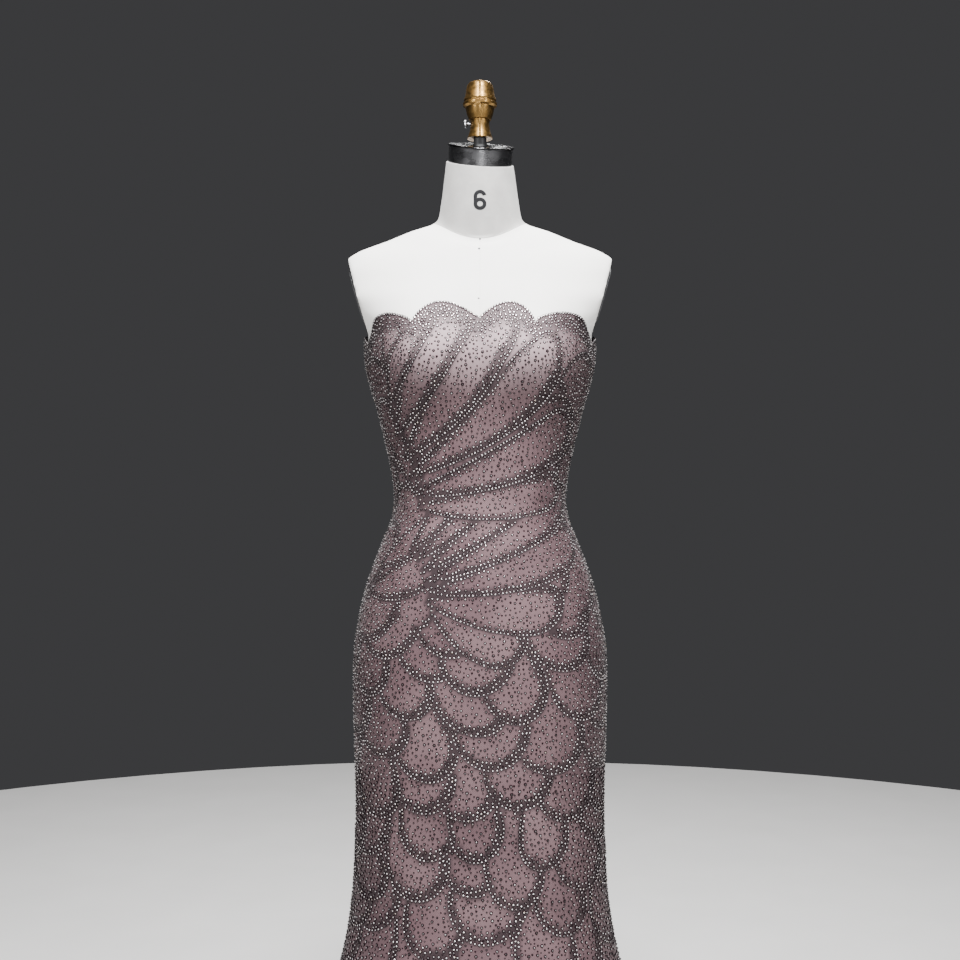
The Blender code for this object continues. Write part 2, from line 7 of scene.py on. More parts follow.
import bmesh
import bpy
import numpy as np
from mathutils import Matrix, Vector
from mathutils.kdtree import KDTree


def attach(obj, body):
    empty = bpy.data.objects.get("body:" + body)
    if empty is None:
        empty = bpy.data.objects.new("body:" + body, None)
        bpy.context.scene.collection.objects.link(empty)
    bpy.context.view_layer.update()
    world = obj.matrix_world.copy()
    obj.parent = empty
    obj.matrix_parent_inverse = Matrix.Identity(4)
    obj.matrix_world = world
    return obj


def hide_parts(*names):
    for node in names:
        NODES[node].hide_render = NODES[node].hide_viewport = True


bl_info = {
    "name": "Beaded Mermaid Gown",
    "version": (1, 0, 0),
    "blender": (4, 5, 0),
    "location": "3D View > Sidebar > Gown",
    "description": "Dresses the packed gown and its dress form with cloth, beads and finishes",
    "category": "Object",
}

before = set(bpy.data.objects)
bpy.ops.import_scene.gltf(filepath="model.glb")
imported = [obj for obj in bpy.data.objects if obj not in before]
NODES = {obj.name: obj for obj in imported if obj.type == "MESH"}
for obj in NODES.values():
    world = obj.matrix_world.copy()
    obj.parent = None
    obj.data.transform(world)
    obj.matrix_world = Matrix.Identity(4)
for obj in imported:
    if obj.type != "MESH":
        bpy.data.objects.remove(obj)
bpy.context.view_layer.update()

# The gown's shape, as in the solids. All lengths are in metres.

SEAM_GAP = 0.0003
CLOTH_EASE = 0.0006
NECKLINE_EASE = 0.0012
CLOTH_WALL = 0.0020
HEM_Z = 0.020

Ring = namedtuple("Ring", "z_side z_front z_back half_width front back fullness")


def level(z, half_width, front, back, fullness):
    """A ring that is level all round."""
    return Ring(z, z, z, half_width, front, back, fullness)


SKIRT_RINGS = (
    level(0.020, 0.3720, 0.312, 0.368, 2.00),
    level(0.095, 0.3300, 0.272, 0.322, 2.00),
    level(0.175, 0.2870, 0.231, 0.274, 2.00),
    level(0.255, 0.2490, 0.195, 0.230, 2.00),
    level(0.335, 0.2170, 0.163, 0.190, 2.00),
    level(0.415, 0.1885, 0.136, 0.156, 2.00),
    level(0.480, 0.1762, 0.121, 0.136, 2.00),
    level(0.545, 0.1700, 0.113, 0.127, 2.05),
    level(0.635, 0.1672, 0.110, 0.128, 2.10),
)
TORSO_RINGS = (
    level(0.720, 0.1694, 0.112, 0.138, 2.15),
    level(0.795, 0.1710, 0.114, 0.146, 2.15),
    level(0.845, 0.1700, 0.114, 0.147, 2.15),
    level(0.890, 0.1634, 0.113, 0.140, 2.10),
    level(0.928, 0.1548, 0.110, 0.127, 2.10),
    level(0.961, 0.1440, 0.106, 0.112, 2.10),
    level(0.994, 0.1312, 0.101, 0.099, 2.10),
    level(1.024, 0.1192, 0.096, 0.089, 2.10),
    level(1.052, 0.1146, 0.094, 0.085, 2.10),
    level(1.082, 0.1172, 0.095, 0.087, 2.10),
    level(1.112, 0.1228, 0.098, 0.091, 2.10),
    level(1.143, 0.1300, 0.101, 0.096, 2.15),
    level(1.177, 0.1384, 0.104, 0.101, 2.20),
    level(1.210, 0.1482, 0.106, 0.105, 2.20),
    level(1.243, 0.1550, 0.106, 0.108, 2.20),
    level(1.276, 0.1562, 0.103, 0.110, 2.20),
    Ring(1.306, 1.302, 1.306, 0.1760, 0.097, 0.110, 2.10),
    Ring(1.335, 1.326, 1.337, 0.1920, 0.089, 0.106, 2.05),
    Ring(1.362, 1.346, 1.366, 0.1920, 0.080, 0.099, 2.00),
    Ring(1.382, 1.362, 1.392, 0.1830, 0.073, 0.091, 2.00),
)
SHOULDER_RINGS = (
    Ring(1.3925, 1.373, 1.406, 0.1680, 0.068, 0.084, 2.00),
    Ring(1.4075, 1.383, 1.421, 0.1285, 0.063, 0.076, 2.00),
    Ring(1.4215, 1.392, 1.437, 0.0945, 0.058, 0.068, 2.00),
    Ring(1.4315, 1.398, 1.450, 0.0650, 0.053, 0.061, 2.00),
    Ring(1.4390, 1.404, 1.458, 0.0575, 0.051, 0.056, 2.00),
    Ring(1.4700, 1.447, 1.485, 0.0520, 0.049, 0.050, 2.00),
)
BODY_RINGS = SKIRT_RINGS + TORSO_RINGS + SHOULDER_RINGS
RING_COLUMNS = tuple(np.array(column) for column in zip(*BODY_RINGS))

# Rows are counted in rings, from the hem up. The cloth lies a little looser from LOOSE_ROW up.
FORM_FOOT = 9
LOOSE_ROW = 22.5
CLOTH_TOP_ROW = 28
NECK_SEAM_ROW, NECK_ROW = 33, 34

# The bust: the place of each side's middle, how far it stands out, how far it spreads, and how fast it
# fades towards the sides. The cloth spans the hollow between, so it spreads further inwards.
BUST_X, BUST_Z, BUST_RISE = 0.076, 1.238, 0.030
BUST_SPREAD_OUT, BUST_SPREAD_IN, BUST_SPREAD_UP, BUST_SPREAD_DOWN = 0.046, 0.045, 0.046, 0.040
CLOTH_SPREAD_IN = 0.066
BUST_SIDE_FADE = 1.6
ARMHOLE_Z, ARMHOLE_X, ARMHOLE_SLOPE = 1.276, 0.1512, 0.28

Flute = namedtuple("Flute", "angle spread depth")
FLUTES = (
    Flute(-93, 8.5, 0.030),
    Flute(-66, 9, 0.036),
    Flute(-36, 10.5, 0.042),
    Flute(-6, 10, 0.040),
    Flute(24, 9.5, 0.038),
    Flute(53, 10, 0.044),
    Flute(81, 8.5, 0.036),
    Flute(107, 9, 0.040),
    Flute(136, 10.5, 0.044),
    Flute(166, 9.5, 0.038),
    Flute(195, 10.5, 0.040),
    Flute(224, 9.5, 0.044),
    Flute(247, 8, 0.032),
)
FLUTES_START_Z, FLUTES_GROWTH = 0.520, 1.6

Scallop = namedtuple("Scallop", "angle_from angle_to z_from z_to rise roundness")
BACK_SCALLOPS = (
    Scallop(-21, 21, 1.2600, 1.2560, 0.0165, 0.72),
    Scallop(21, 57, 1.2560, 1.2530, 0.0180, 0.72),
    Scallop(57, 90, 1.2530, 1.2520, 0.0180, 0.72),
)
LEFT_SCALLOPS = (
    Scallop(-90, -66, 1.2885, 1.2825, 0.0245, 0.85),
    Scallop(-66, -21, 1.2825, 1.2600, 0.0250, 0.62),
) + BACK_SCALLOPS
RIGHT_SCALLOPS = (
    Scallop(-90, -58.5, 1.2885, 1.2840, 0.0245, 1.1),
    Scallop(-58.5, -21, 1.2840, 1.2600, 0.0240, 0.66),
) + BACK_SCALLOPS
COLUMN_STEP = 1.5  # degrees between the cloth's columns, which meets every cusp of the neckline

ZIP_HALF_WIDTH, ZIP_FOOT_Z, ZIP_TOP_Z = 0.0012, 0.890, 1.2490
TOOTH_PITCH, TOOTH_LENGTH, TOOTH_OFFSET = 0.0020, 0.0017, 0.00025
STITCH_PITCH, STITCH_HALF_LENGTH = 0.0032, 0.0012
STITCH_TURN = 0.034  # how far round from the centre back the zip's stitches are, in radians

# The cloth's mesh has its closest rows between the first two heights. Between the other two its satin
# is painted paler: painted light over the bust's top.
THIGH_Z, CHEST_Z = 0.655, 1.210
PAINTED_LIGHT_FROM_Z, PAINTED_LIGHT_TO_Z = 1.188, 1.262

# The stand's shape.

NECK_TOP, NECK_TOP_RADIUS = (0.0, -0.001, 1.5160), 0.0464
NECK_TILT, NECK_ROLL = math.radians(18.5), math.radians(4)
ROD_RADIUS, ROD_TOP_Z, FIT_GAP = 0.009, 1.586, 0.0003
BAND_RADIUS, BAND_HEIGHT = 0.0440, 0.0213
LID_RADIUS, LID_THICKNESS = 0.0455, 0.0022
FINIAL_Z, SCREW_HEIGHT = 1.5500, 0.0205
FINIAL_TURNS = (
    (0.0172, 0.0000),
    (0.0165, 0.0030),
    (0.0140, 0.0100),
    (0.0127, 0.0190),
    (0.0133, 0.0255),
    (0.0152, 0.0260),
    (0.0180, 0.0335),
    (0.0200, 0.0430),
    (0.0232, 0.0452),
    (0.0236, 0.0485),
    (0.0216, 0.0500),
    (0.0216, 0.0515),
    (0.0224, 0.0530),
    (0.0216, 0.0560),
    (0.0203, 0.0585),
    (0.0189, 0.0680),
    (0.0176, 0.0735),
    (0.0150, 0.0769),
    (0.0115, 0.0780),
)
SCREW_TURNS = (
    (0.0020, 0.0093),
    (0.0020, 0.0170),
    (0.0030, 0.0187),
    (0.0050, 0.0188),
    (0.0055, 0.0193),
    (0.0055, 0.0212),
    (0.0049, 0.0217),
)
BASE_TURNS = (
    (0.167, 0.000),
    (0.170, 0.003),
    (0.170, 0.007),
    (0.166, 0.010),
    (0.102, 0.014),
    (0.034, 0.020),
    (0.024, 0.030),
    (0.020, 0.046),
)
COLLAR_RADIUS, COLLAR_HEIGHT, SOCKET_Z = 0.034, 0.008, 0.006

# Radii of the rod's holes, through the band and the lid, down the form, and at the cover's top.
NECK_METAL_HOLE, FORM_BORE, COVER_HOLE = 0.0115, 0.0096, 0.0112

# The screw's hole in the finial, and the knurls cut into its head past a radius, every other one drawn in.
SCREW_X, SCREW_HOLE_RADIUS, SCREW_HOLE_LENGTH = -0.0144, 0.0023, 0.018
KNURLS, KNURL_RADIUS, KNURL_SCALE = 48, 0.0053, 0.93

# The size number: an oval bowl, and an arc of another oval swept up from its left side.
NUMBER_Z, NUMBER_HALF_WIDTH, NUMBER_STROKE = 1.4555, 0.0062, 0.0051
SWEEP_CENTRE, SWEEP_HALF_HEIGHT = 0.0050, 0.0063
BOWL_CENTRE, BOWL_HALF_HEIGHT = -0.0052, 0.0060

# Pin heads on the form's centre front: how far off the middle, how high and how big.
PINS = ((0.0, 1.4025, 0.0014), (-0.0012, 1.3880, 0.0016), (-0.0018, 1.3170, 0.0013))

# The form's seams: where round the form each runs, in degrees, and its first and last row.
FORM_SEAMS = ((-90, 24.0, 32.96), (90, 22.0, 32.96), (0, 29.5, 32.1), (180, 29.5, 32.1))

# The camera.

CAMERA_PLACE, CAMERA_LENS = (0.0, -1.794, 1.0794), 48.75

# The petals. A share is how far round the gown a point is, from 0 at the centre front to 1.

Plume = namedtuple("Plume", "across z heading length width bend")
PetalRow = namedtuple("PetalRow", "tip_z count length heading first overlap")
Petal = namedtuple("Petal", "share z heading length width root bend")

# Long plumes: where each starts, from the front's (and the back's) middle, which way it runs, and its bend.
BODICE_PLUMES = (
    Plume(-0.142, 1.232, 66, 0.105, 0.056, 0.06),
    Plume(-0.134, 1.178, 55, 0.165, 0.060, 0.12),
    Plume(-0.124, 1.138, 46, 0.225, 0.069, 0.15),
    Plume(-0.112, 1.106, 37, 0.268, 0.072, 0.17),
    Plume(-0.104, 1.083, 24, 0.300, 0.066, 0.20),
    Plume(-0.096, 1.061, 10, 0.262, 0.064, 0.20),
    Plume(-0.090, 1.045, -3, 0.215, 0.055, 0.18),
    Plume(-0.084, 1.052, 112, 0.150, 0.050, 0.02),
)
HIP_PLUMES = (
    Plume(-0.098, 0.986, 52, 0.090, 0.040, 0.06),
    Plume(-0.088, 0.972, 44, 0.150, 0.046, 0.10),
    Plume(-0.080, 0.958, 36, 0.205, 0.054, 0.12),
    Plume(-0.074, 0.946, 24, 0.232, 0.058, 0.13),
    Plume(-0.070, 0.934, 9, 0.222, 0.064, 0.14),
    Plume(-0.070, 0.922, -10, 0.186, 0.068, 0.12),
    Plume(-0.066, 0.914, -30, 0.142, 0.070, 0.10),
    Plume(-0.160, 0.962, 30, 0.110, 0.052, 0.12),
    Plume(-0.176, 0.930, 12, 0.116, 0.058, 0.12),
)
FEATHER_ROWS = (
    PetalRow(1.010, 10, 0.115, 64, 0.02, 1.25),
    PetalRow(1.062, 9, 0.115, 66, 0.07, 1.25),
    PetalRow(1.118, 9, 0.115, 66, 0.01, 1.25),
    PetalRow(1.176, 10, 0.120, 68, 0.06, 1.25),
    PetalRow(1.236, 11, 0.125, 70, 0.02, 1.25),
    PetalRow(1.300, 11, 0.130, 74, 0.07, 1.25),
)
PETAL_ROWS = (
    PetalRow(0.968, 10, 0.120, -50, 0.085, 1.25),
    PetalRow(0.922, 11, 0.130, -54, 0.030, 1.22),
    PetalRow(0.870, 12, 0.135, -60, 0.072, 1.20),
    PetalRow(0.814, 12, 0.140, -63, 0.032, 1.18),
    PetalRow(0.757, 12, 0.140, -66, 0.074, 1.16),
    PetalRow(0.700, 12, 0.140, -70, 0.030, 1.16),
    PetalRow(0.643, 12, 0.140, -74, 0.071, 1.15),
    PetalRow(0.585, 12, 0.140, -77, 0.028, 1.15),
    PetalRow(0.527, 12, 0.140, -80, 0.070, 1.15),
    PetalRow(0.468, 12, 0.140, -82, 0.030, 1.15),
    PetalRow(0.408, 13, 0.140, -84, 0.067, 1.15),
    PetalRow(0.346, 14, 0.145, -86, 0.030, 1.15),
    PetalRow(0.283, 16, 0.150, -87, 0.060, 1.15),
    PetalRow(0.219, 18, 0.150, -88, 0.028, 1.15),
    PetalRow(0.155, 20, 0.150, -89, 0.052, 1.15),
    PetalRow(0.091, 22, 0.150, -90, 0.025, 1.15),
    PetalRow(0.027, 24, 0.150, -90, 0.046, 1.15),
)

# Soft raised creases: a share and a height at each end, how high and how wide.
Crease = namedtuple("Crease", "share_from z_from share_to z_to height width")
CREASES = (
    Crease(-0.19, 1.040, -0.03, 1.058, 0.0012, 0.0060),
    Crease(0.06, 1.071, 0.21, 1.046, 0.0014, 0.0065),
    Crease(-0.21, 1.083, -0.10, 1.070, 0.0010, 0.0050),
    Crease(0.02, 1.030, 0.17, 1.018, 0.0011, 0.0070),
    Crease(-0.24, 1.012, -0.12, 1.000, 0.0013, 0.0060),
    Crease(0.29, 1.052, 0.44, 1.062, 0.0015, 0.0065),
    Crease(0.31, 1.078, 0.41, 1.086, 0.0011, 0.0050),
    Crease(-0.45, 1.060, -0.30, 1.044, 0.0014, 0.0070),
    Crease(-0.42, 1.030, -0.27, 1.022, 0.0012, 0.0055),
    Crease(-0.10, 0.655, 0.10, 0.630, 0.0018, 0.0120),
    Crease(0.13, 0.610, 0.24, 0.565, 0.0022, 0.0130),
    Crease(-0.23, 0.600, -0.08, 0.560, 0.0020, 0.0120),
    Crease(0.02, 0.560, 0.16, 0.515, 0.0022, 0.0140),
    Crease(0.30, 0.640, 0.43, 0.600, 0.0022, 0.0120),
    Crease(-0.44, 0.620, -0.29, 0.575, 0.0020, 0.0140),
    Crease(0.34, 0.560, 0.48, 0.530, 0.0020, 0.0130),
)

PLUME_ROOT, PETAL_ROOT = 0.16, 0.55  # how wide the root is, as a share of the petal's width
FREE = 1.0  # a distance beyond any petal

# Which side of its tip a petal is beaded most, in radians round the tip, for one that points up or down.
RIM_SIDE_UP, RIM_SIDE_DOWN = -1.1, 0.5

# The beads.

BEAD_SEED = 6
REGION_SPLIT_Z = 0.690
ABOVE_GOWN_Z = 1.31
TABLE_DEGREES, TABLE_ROWS = 0.5, 0.25  # how fine the table of girths is
FILL_TRIES, SEED_TRIES = 1100000, 300000  # how many places for beads are tried

# How far down from the neckline the beads crowd, and how far its own row reaches.
NECKLINE_BAND, NECKLINE_ROW = 0.036, 0.0016
NECKLINE_SPACING, HEM_SPACING, HEM_ROW_HEIGHT = 0.0043, 0.0046, 0.0028

# A rim's beads: how far inside the rim, how far from other beads, and how near a rim above may come.
RIM_INSET, RIM_REACH, RIM_COVERED = 0.0017, 0.0038, 0.0035

# A rim's dark thread, which also stands in for the rim's shadow: how far inside it lies, where it is
# tested for showing, and the length of its steps.
THREAD_INSET, THREAD_PROBE, THREAD_STEP = 0.0001, 0.0008, 0.0044
STRIP_SINK = 0.0002  # how deep a strip's edges lie in what it is on


# Helpers for meshes and objects


def add_object(name, mesh, material, body, sharp_degrees=None):
    """Puts a finished mesh in the scene under the given name, with its material, riding on its body."""
    mesh.name = name
    mesh.shade_smooth()
    if sharp_degrees is not None:
        mesh.set_sharp_from_angle(angle=math.radians(sharp_degrees))
    mesh.materials.clear()
    mesh.materials.append(material)
    thing = bpy.data.objects.new(name, mesh)
    bpy.context.scene.collection.objects.link(thing)
    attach(thing, body)
    return thing


def mesh_of(bm):
    """Turns a bmesh into a mesh."""
    mesh = bpy.data.meshes.new("mesh")
    bm.to_mesh(mesh)
    bm.free()
    return mesh


def set_finish(node, material):
    """Gives its material to a solid that is shown as it is."""
    mesh = NODES[node].data
    mesh.materials.clear()
    mesh.materials.append(material)


def add_bevel(thing, width):
    """Rounds a piece's sharp edges."""
    bevel = thing.modifiers.new("Rounded edges", "BEVEL")
    bevel.width = width
    bevel.segments = 2
    bevel.limit_method = "ANGLE"
    bevel.angle_limit = math.radians(32)


def point_array(mesh):
    """The mesh's points as rows of x, y and z."""
    points = np.empty(len(mesh.vertices) * 3)
    mesh.vertices.foreach_get("co", points)
    return points.reshape(-1, 3)


def set_points(mesh, points):
    """Moves the mesh's points to these."""
    mesh.vertices.foreach_set("co", np.ascontiguousarray(points, dtype=np.float32).ravel())
    mesh.update()


def set_value(mesh, name, values):
    """Gives every point a value that its material reads."""
    attribute = mesh.attributes.new(name, "FLOAT", "POINT")
    attribute.data.foreach_set("value", np.ascontiguousarray(values, dtype=np.float32))


def set_uv(mesh, flat):
    """Gives every corner the flat place of its vertex."""
    layer = mesh.uv_layers.new(name="flat_cloth")
    corners = np.empty(len(mesh.loops), dtype=np.int32)
    mesh.loops.foreach_get("vertex_index", corners)
    layer.uv.foreach_set("vector", np.ascontiguousarray(flat[corners], dtype=np.float32).ravel())


def grid_mesh(columns, rows):
    """A flat grid as a mesh, with each vertex's column and row."""
    bm = bmesh.new()
    bmesh.ops.create_grid(bm, x_segments=columns - 1, y_segments=rows - 1, size=1.0)
    mesh = mesh_of(bm)
    points = point_array(mesh)
    column = np.rint((points[:, 0] + 1) / 2 * (columns - 1)).astype(int)
    row = np.rint((points[:, 1] + 1) / 2 * (rows - 1)).astype(int)
    return mesh, column, row


def turned_shape(outline, sides):
    """A closed outline of (radius, z) spun round the Z axis, as a bmesh."""
    bm = bmesh.new()
    verts = [bm.verts.new((radius, 0.0, z)) for radius, z in outline]
    edges = [bm.edges.new(pair) for pair in zip(verts, verts[1:] + verts[:1])]
    bmesh.ops.spin(
        bm, geom=verts + edges, cent=(0, 0, 0), axis=(0, 0, 1), angle=math.tau, steps=sides, use_merge=True
    )
    bmesh.ops.remove_doubles(bm, verts=bm.verts, dist=0.00001)
    bmesh.ops.dissolve_degenerate(bm, dist=0.00001, edges=bm.edges)
    bmesh.ops.recalc_face_normals(bm, faces=bm.faces)
    return bm


def unit(vectors):
    """The vectors, each made one long."""
    return vectors / np.maximum(np.linalg.norm(vectors, axis=-1, keepdims=True), 1e-12)


def scatter_mesh(shape, points, normals, sizes, turns):
    """Many copies of one small bmesh shape as a single mesh, each standing on its normal."""
    bmesh.ops.triangulate(shape, faces=shape.faces)
    shape.verts.ensure_lookup_table()
    corners = np.array([vert.co for vert in shape.verts])
    faces = np.array([[vert.index for vert in face.verts] for face in shape.faces])
    shape.free()
    side = np.cross(normals, (0.0, 0.0, 1.0))
    side = unit(np.where(np.abs(normals[:, 2:]) > 0.98, (1.0, 0.0, 0.0), side))
    upward = np.cross(normals, side)
    cos, sin = np.cos(turns)[:, None], np.sin(turns)[:, None]
    first = side * cos + upward * sin
    second = np.cross(normals, first)
    placed = corners[None, :, 0, None] * first[:, None] + corners[None, :, 1, None] * second[:, None]
    placed = placed + corners[None, :, 2, None] * normals[:, None]
    placed = points[:, None] + placed * sizes[:, None, None]
    indices = faces[None] + (np.arange(len(points)) * len(corners))[:, None, None]
    mesh = bpy.data.meshes.new("scatter")
    mesh.vertices.add(placed.shape[0] * placed.shape[1])
    mesh.vertices.foreach_set("co", placed.astype(np.float32).ravel())
    mesh.loops.add(indices.size)
    mesh.loops.foreach_set("vertex_index", indices.astype(np.int32).ravel())
    mesh.polygons.add(indices.size // 3)
    mesh.polygons.foreach_set("loop_start", np.arange(0, indices.size, 3, dtype=np.int32))
    mesh.update(calc_edges=True)
    mesh.validate()
    return mesh


def strip_mesh(runs, width, height):
    """Low raised strips along runs of (points, normals)."""
    bm = bmesh.new()
    for points, normals in runs:
        made = bmesh.ops.create_grid(bm, x_segments=len(points) - 1, y_segments=2, size=1.0)
        ahead = unit(np.gradient(points, axis=0))
        side = unit(np.cross(normals, ahead))
        for vert in made["verts"]:
            step = round((vert.co.x + 1) / 2 * (len(points) - 1))
            across = round(vert.co.y)
            raised = height if across == 0 else -STRIP_SINK
            vert.co = points[step] + side[step] * across * width / 2 + normals[step] * raised
    return mesh_of(bm)


def cut_away(thing, cutter):
    """Cuts one bmesh out of an object and keeps the result as its mesh."""
    tool = bpy.data.objects.new("cutter", mesh_of(cutter))
    bpy.context.scene.collection.objects.link(tool)
    modifier = thing.modifiers.new("cut", "BOOLEAN")
    modifier.operation = "DIFFERENCE"
    modifier.object = tool
    modifier.solver = "EXACT"
    depsgraph = bpy.context.evaluated_depsgraph_get()
    cut = bpy.data.meshes.new_from_object(thing.evaluated_get(depsgraph))
    thing.modifiers.remove(modifier)
    bpy.data.objects.remove(tool, do_unlink=True)
    thing.data = cut


# The body's surface, for arrays of angles in radians and of rows


def eased(values, at):
    """Smooth values at fractional rows, through every row and never past their neighbours."""
    steps = np.diff(values)
    before, after = steps[:-1], steps[1:]
    total = np.where(before * after > 0, before + after, 1.0)
    inner = np.where(before * after > 0, 2 * before * after / total, 0.0)
    slopes = np.concatenate(([steps[0]], inner, [steps[-1]]))
    low = np.clip(at.astype(int), 0, len(values) - 2)
    share = at - low
    square = share * share
    cube = square * share
    return (
        values[low] * (2 * cube - 3 * square + 1)
        + slopes[low] * (cube - 2 * square + share)
        + values[low + 1] * (3 * square - 2 * cube)
        + slopes[low + 1] * (cube - square)
    )


def height_at(angle, row):
    """The height of the body's surface, which dips at the front from the bust up."""
    side, front, back = (eased(column, row) for column in RING_COLUMNS[:3])
    return side * np.cos(angle) ** 2 + np.where(np.sin(angle) < 0, front, back) * np.sin(angle) ** 2


def bust_rise(x, z, spread_in):
    """How far the bust stands out from the rings."""
    across = (np.abs(x) - BUST_X) / np.where(np.abs(x) > BUST_X, BUST_SPREAD_OUT, spread_in)
    up = (z - BUST_Z) / np.where(z > BUST_Z, BUST_SPREAD_UP, BUST_SPREAD_DOWN)
    return BUST_RISE * np.exp(-(across**2 + up**2) / 2)


def body_surface(angle, row, ease=0.0, spread_in=BUST_SPREAD_IN):
    """Points on the body, or that far out from it, with the bust raised and the armholes flat."""
    ring = Ring(*(eased(column, row) for column in RING_COLUMNS))
    across, along = np.cos(angle), np.sin(angle)
    front = along < 0
    z = ring.z_side * across**2 + np.where(front, ring.z_front, ring.z_back) * along**2
    depth = np.where(front, ring.front, ring.back) + ease
    power = 2 / ring.fullness
    x = np.sign(across) * np.abs(across) ** power * (ring.half_width + ease)
    y = np.sign(along) * np.abs(along) ** power * depth
    flat = ARMHOLE_X + np.abs(z - ARMHOLE_Z) * ARMHOLE_SLOPE + ease
    x = np.where(z > ARMHOLE_Z - 0.03, np.clip(x, -flat, flat), x)
    rise = bust_rise(x, z, spread_in) * np.minimum(1.0, np.abs(along) * BUST_SIDE_FADE)
    return np.stack((x, y - np.where(front, rise, 0.0), z), axis=-1)


def neck_plane():
    """Turns a level thing round the rod into one that lies in the neck's sloping top."""
    roll, tilt = Matrix.Rotation(NECK_ROLL, 4, "Y"), Matrix.Rotation(NECK_TILT, 4, "X")
    return Matrix.Translation(NECK_TOP) @ roll @ tilt


def round_the_rod(angle):
    """Level directions out from the rod."""
    return np.stack((np.cos(angle), np.sin(angle), np.zeros_like(angle)), axis=-1)


def form_surface(angle, row):
    """The dress form's surface: the body, and above its last ring the straight neck up to its sloping top."""
    below = body_surface(angle, np.minimum(row, NECK_ROW))
    around = round_the_rod(angle) * NECK_TOP_RADIUS
    tilt = np.array(neck_plane())
    above = around @ tilt[:3, :3].T + tilt[:3, 3]
    share = np.clip(row - NECK_ROW, 0.0, 1.0)[..., None]
    return below * (1 - share) + above * share


def form_outside(angle, row):
    """Points on the form, and the directions straight out from it."""
    along = form_surface(angle + 0.02, row) - form_surface(angle - 0.02, row)
    up = form_surface(angle, row + 0.05) - form_surface(angle, row - 0.05)
    return form_surface(angle, row), unit(np.cross(along, up))


def neck_seam_row(angle):
    """The row of the seam round the foot of the neck, which dips at the front and the back."""
    return NECK_SEAM_ROW - 0.9 * np.cos(angle) ** 2


def flute_depth(angle, z):
    """How far the skirt's flutes stand out from the rings."""
    growth = np.clip((FLUTES_START_Z - z) / (FLUTES_START_Z - HEM_Z), 0.0, None) ** FLUTES_GROWTH
    degrees = np.degrees(angle)
    depth = np.zeros_like(z)
    for flute in FLUTES:
        away = (degrees - flute.angle + 180) % 360 - 180
        depth += flute.depth * np.exp(-((away / flute.spread) ** 2))
    return growth * depth


def cloth_inside(angle, row):
    """Points on the inside of the gown."""
    ease = CLOTH_EASE + NECKLINE_EASE * np.clip((row - LOOSE_ROW) / 2, 0.0, 1.0)
    points = body_surface(angle, row, ease, CLOTH_SPREAD_IN)
    return points + round_the_rod(angle) * flute_depth(angle, points[..., 2])[..., None]


def cloth_outside(angle, row):
    """Points on the outside of the gown, and the directions straight out from it."""
    above, below = np.minimum(row + 0.1, CLOTH_TOP_ROW), np.maximum(row - 0.1, 0.0)
    along = cloth_inside(angle + 0.02, row) - cloth_inside(angle - 0.02, row)
    up = cloth_inside(angle, above) - cloth_inside(angle, below)
    normals = unit(np.cross(along, up))
    return cloth_inside(angle, row) + normals * CLOTH_WALL, normals


def neckline_z(angle):
    """The neckline's height, which differs a little between the wearer's left and right."""
    degrees = (np.degrees(angle) + 90.0001) % 360 - 90.0001
    left, right = scallop_z(degrees, LEFT_SCALLOPS), scallop_z(180 - degrees, RIGHT_SCALLOPS)
    return np.where(degrees <= 90, left, right)


def scallop_z(degrees, scallops):
    """The height of the scallops' arches between their cusps."""
    height = np.full_like(degrees, scallops[-1].z_to)
    for scallop in reversed(scallops):
        share = (degrees - scallop.angle_from) / (scallop.angle_to - scallop.angle_from)
        share = np.clip(share, 0.0, 1.0)
        chord = scallop.z_from + (scallop.z_to - scallop.z_from) * share
        arch = chord + scallop.rise * np.sin(math.pi * share) ** scallop.roundness
        height = np.where(degrees <= scallop.angle_to + 0.001, arch, height)
    return height


def row_at(angle, z, top_row=CLOTH_TOP_ROW):
    """The rows that are at these heights, found by halving."""
    low, high = np.zeros_like(angle), np.full_like(angle, top_row)
    for _ in range(26):
        middle = (low + high) / 2
        under = height_at(angle, middle) < z
        low, high = np.where(under, middle, low), np.where(under, high, middle)
    return (low + high) / 2


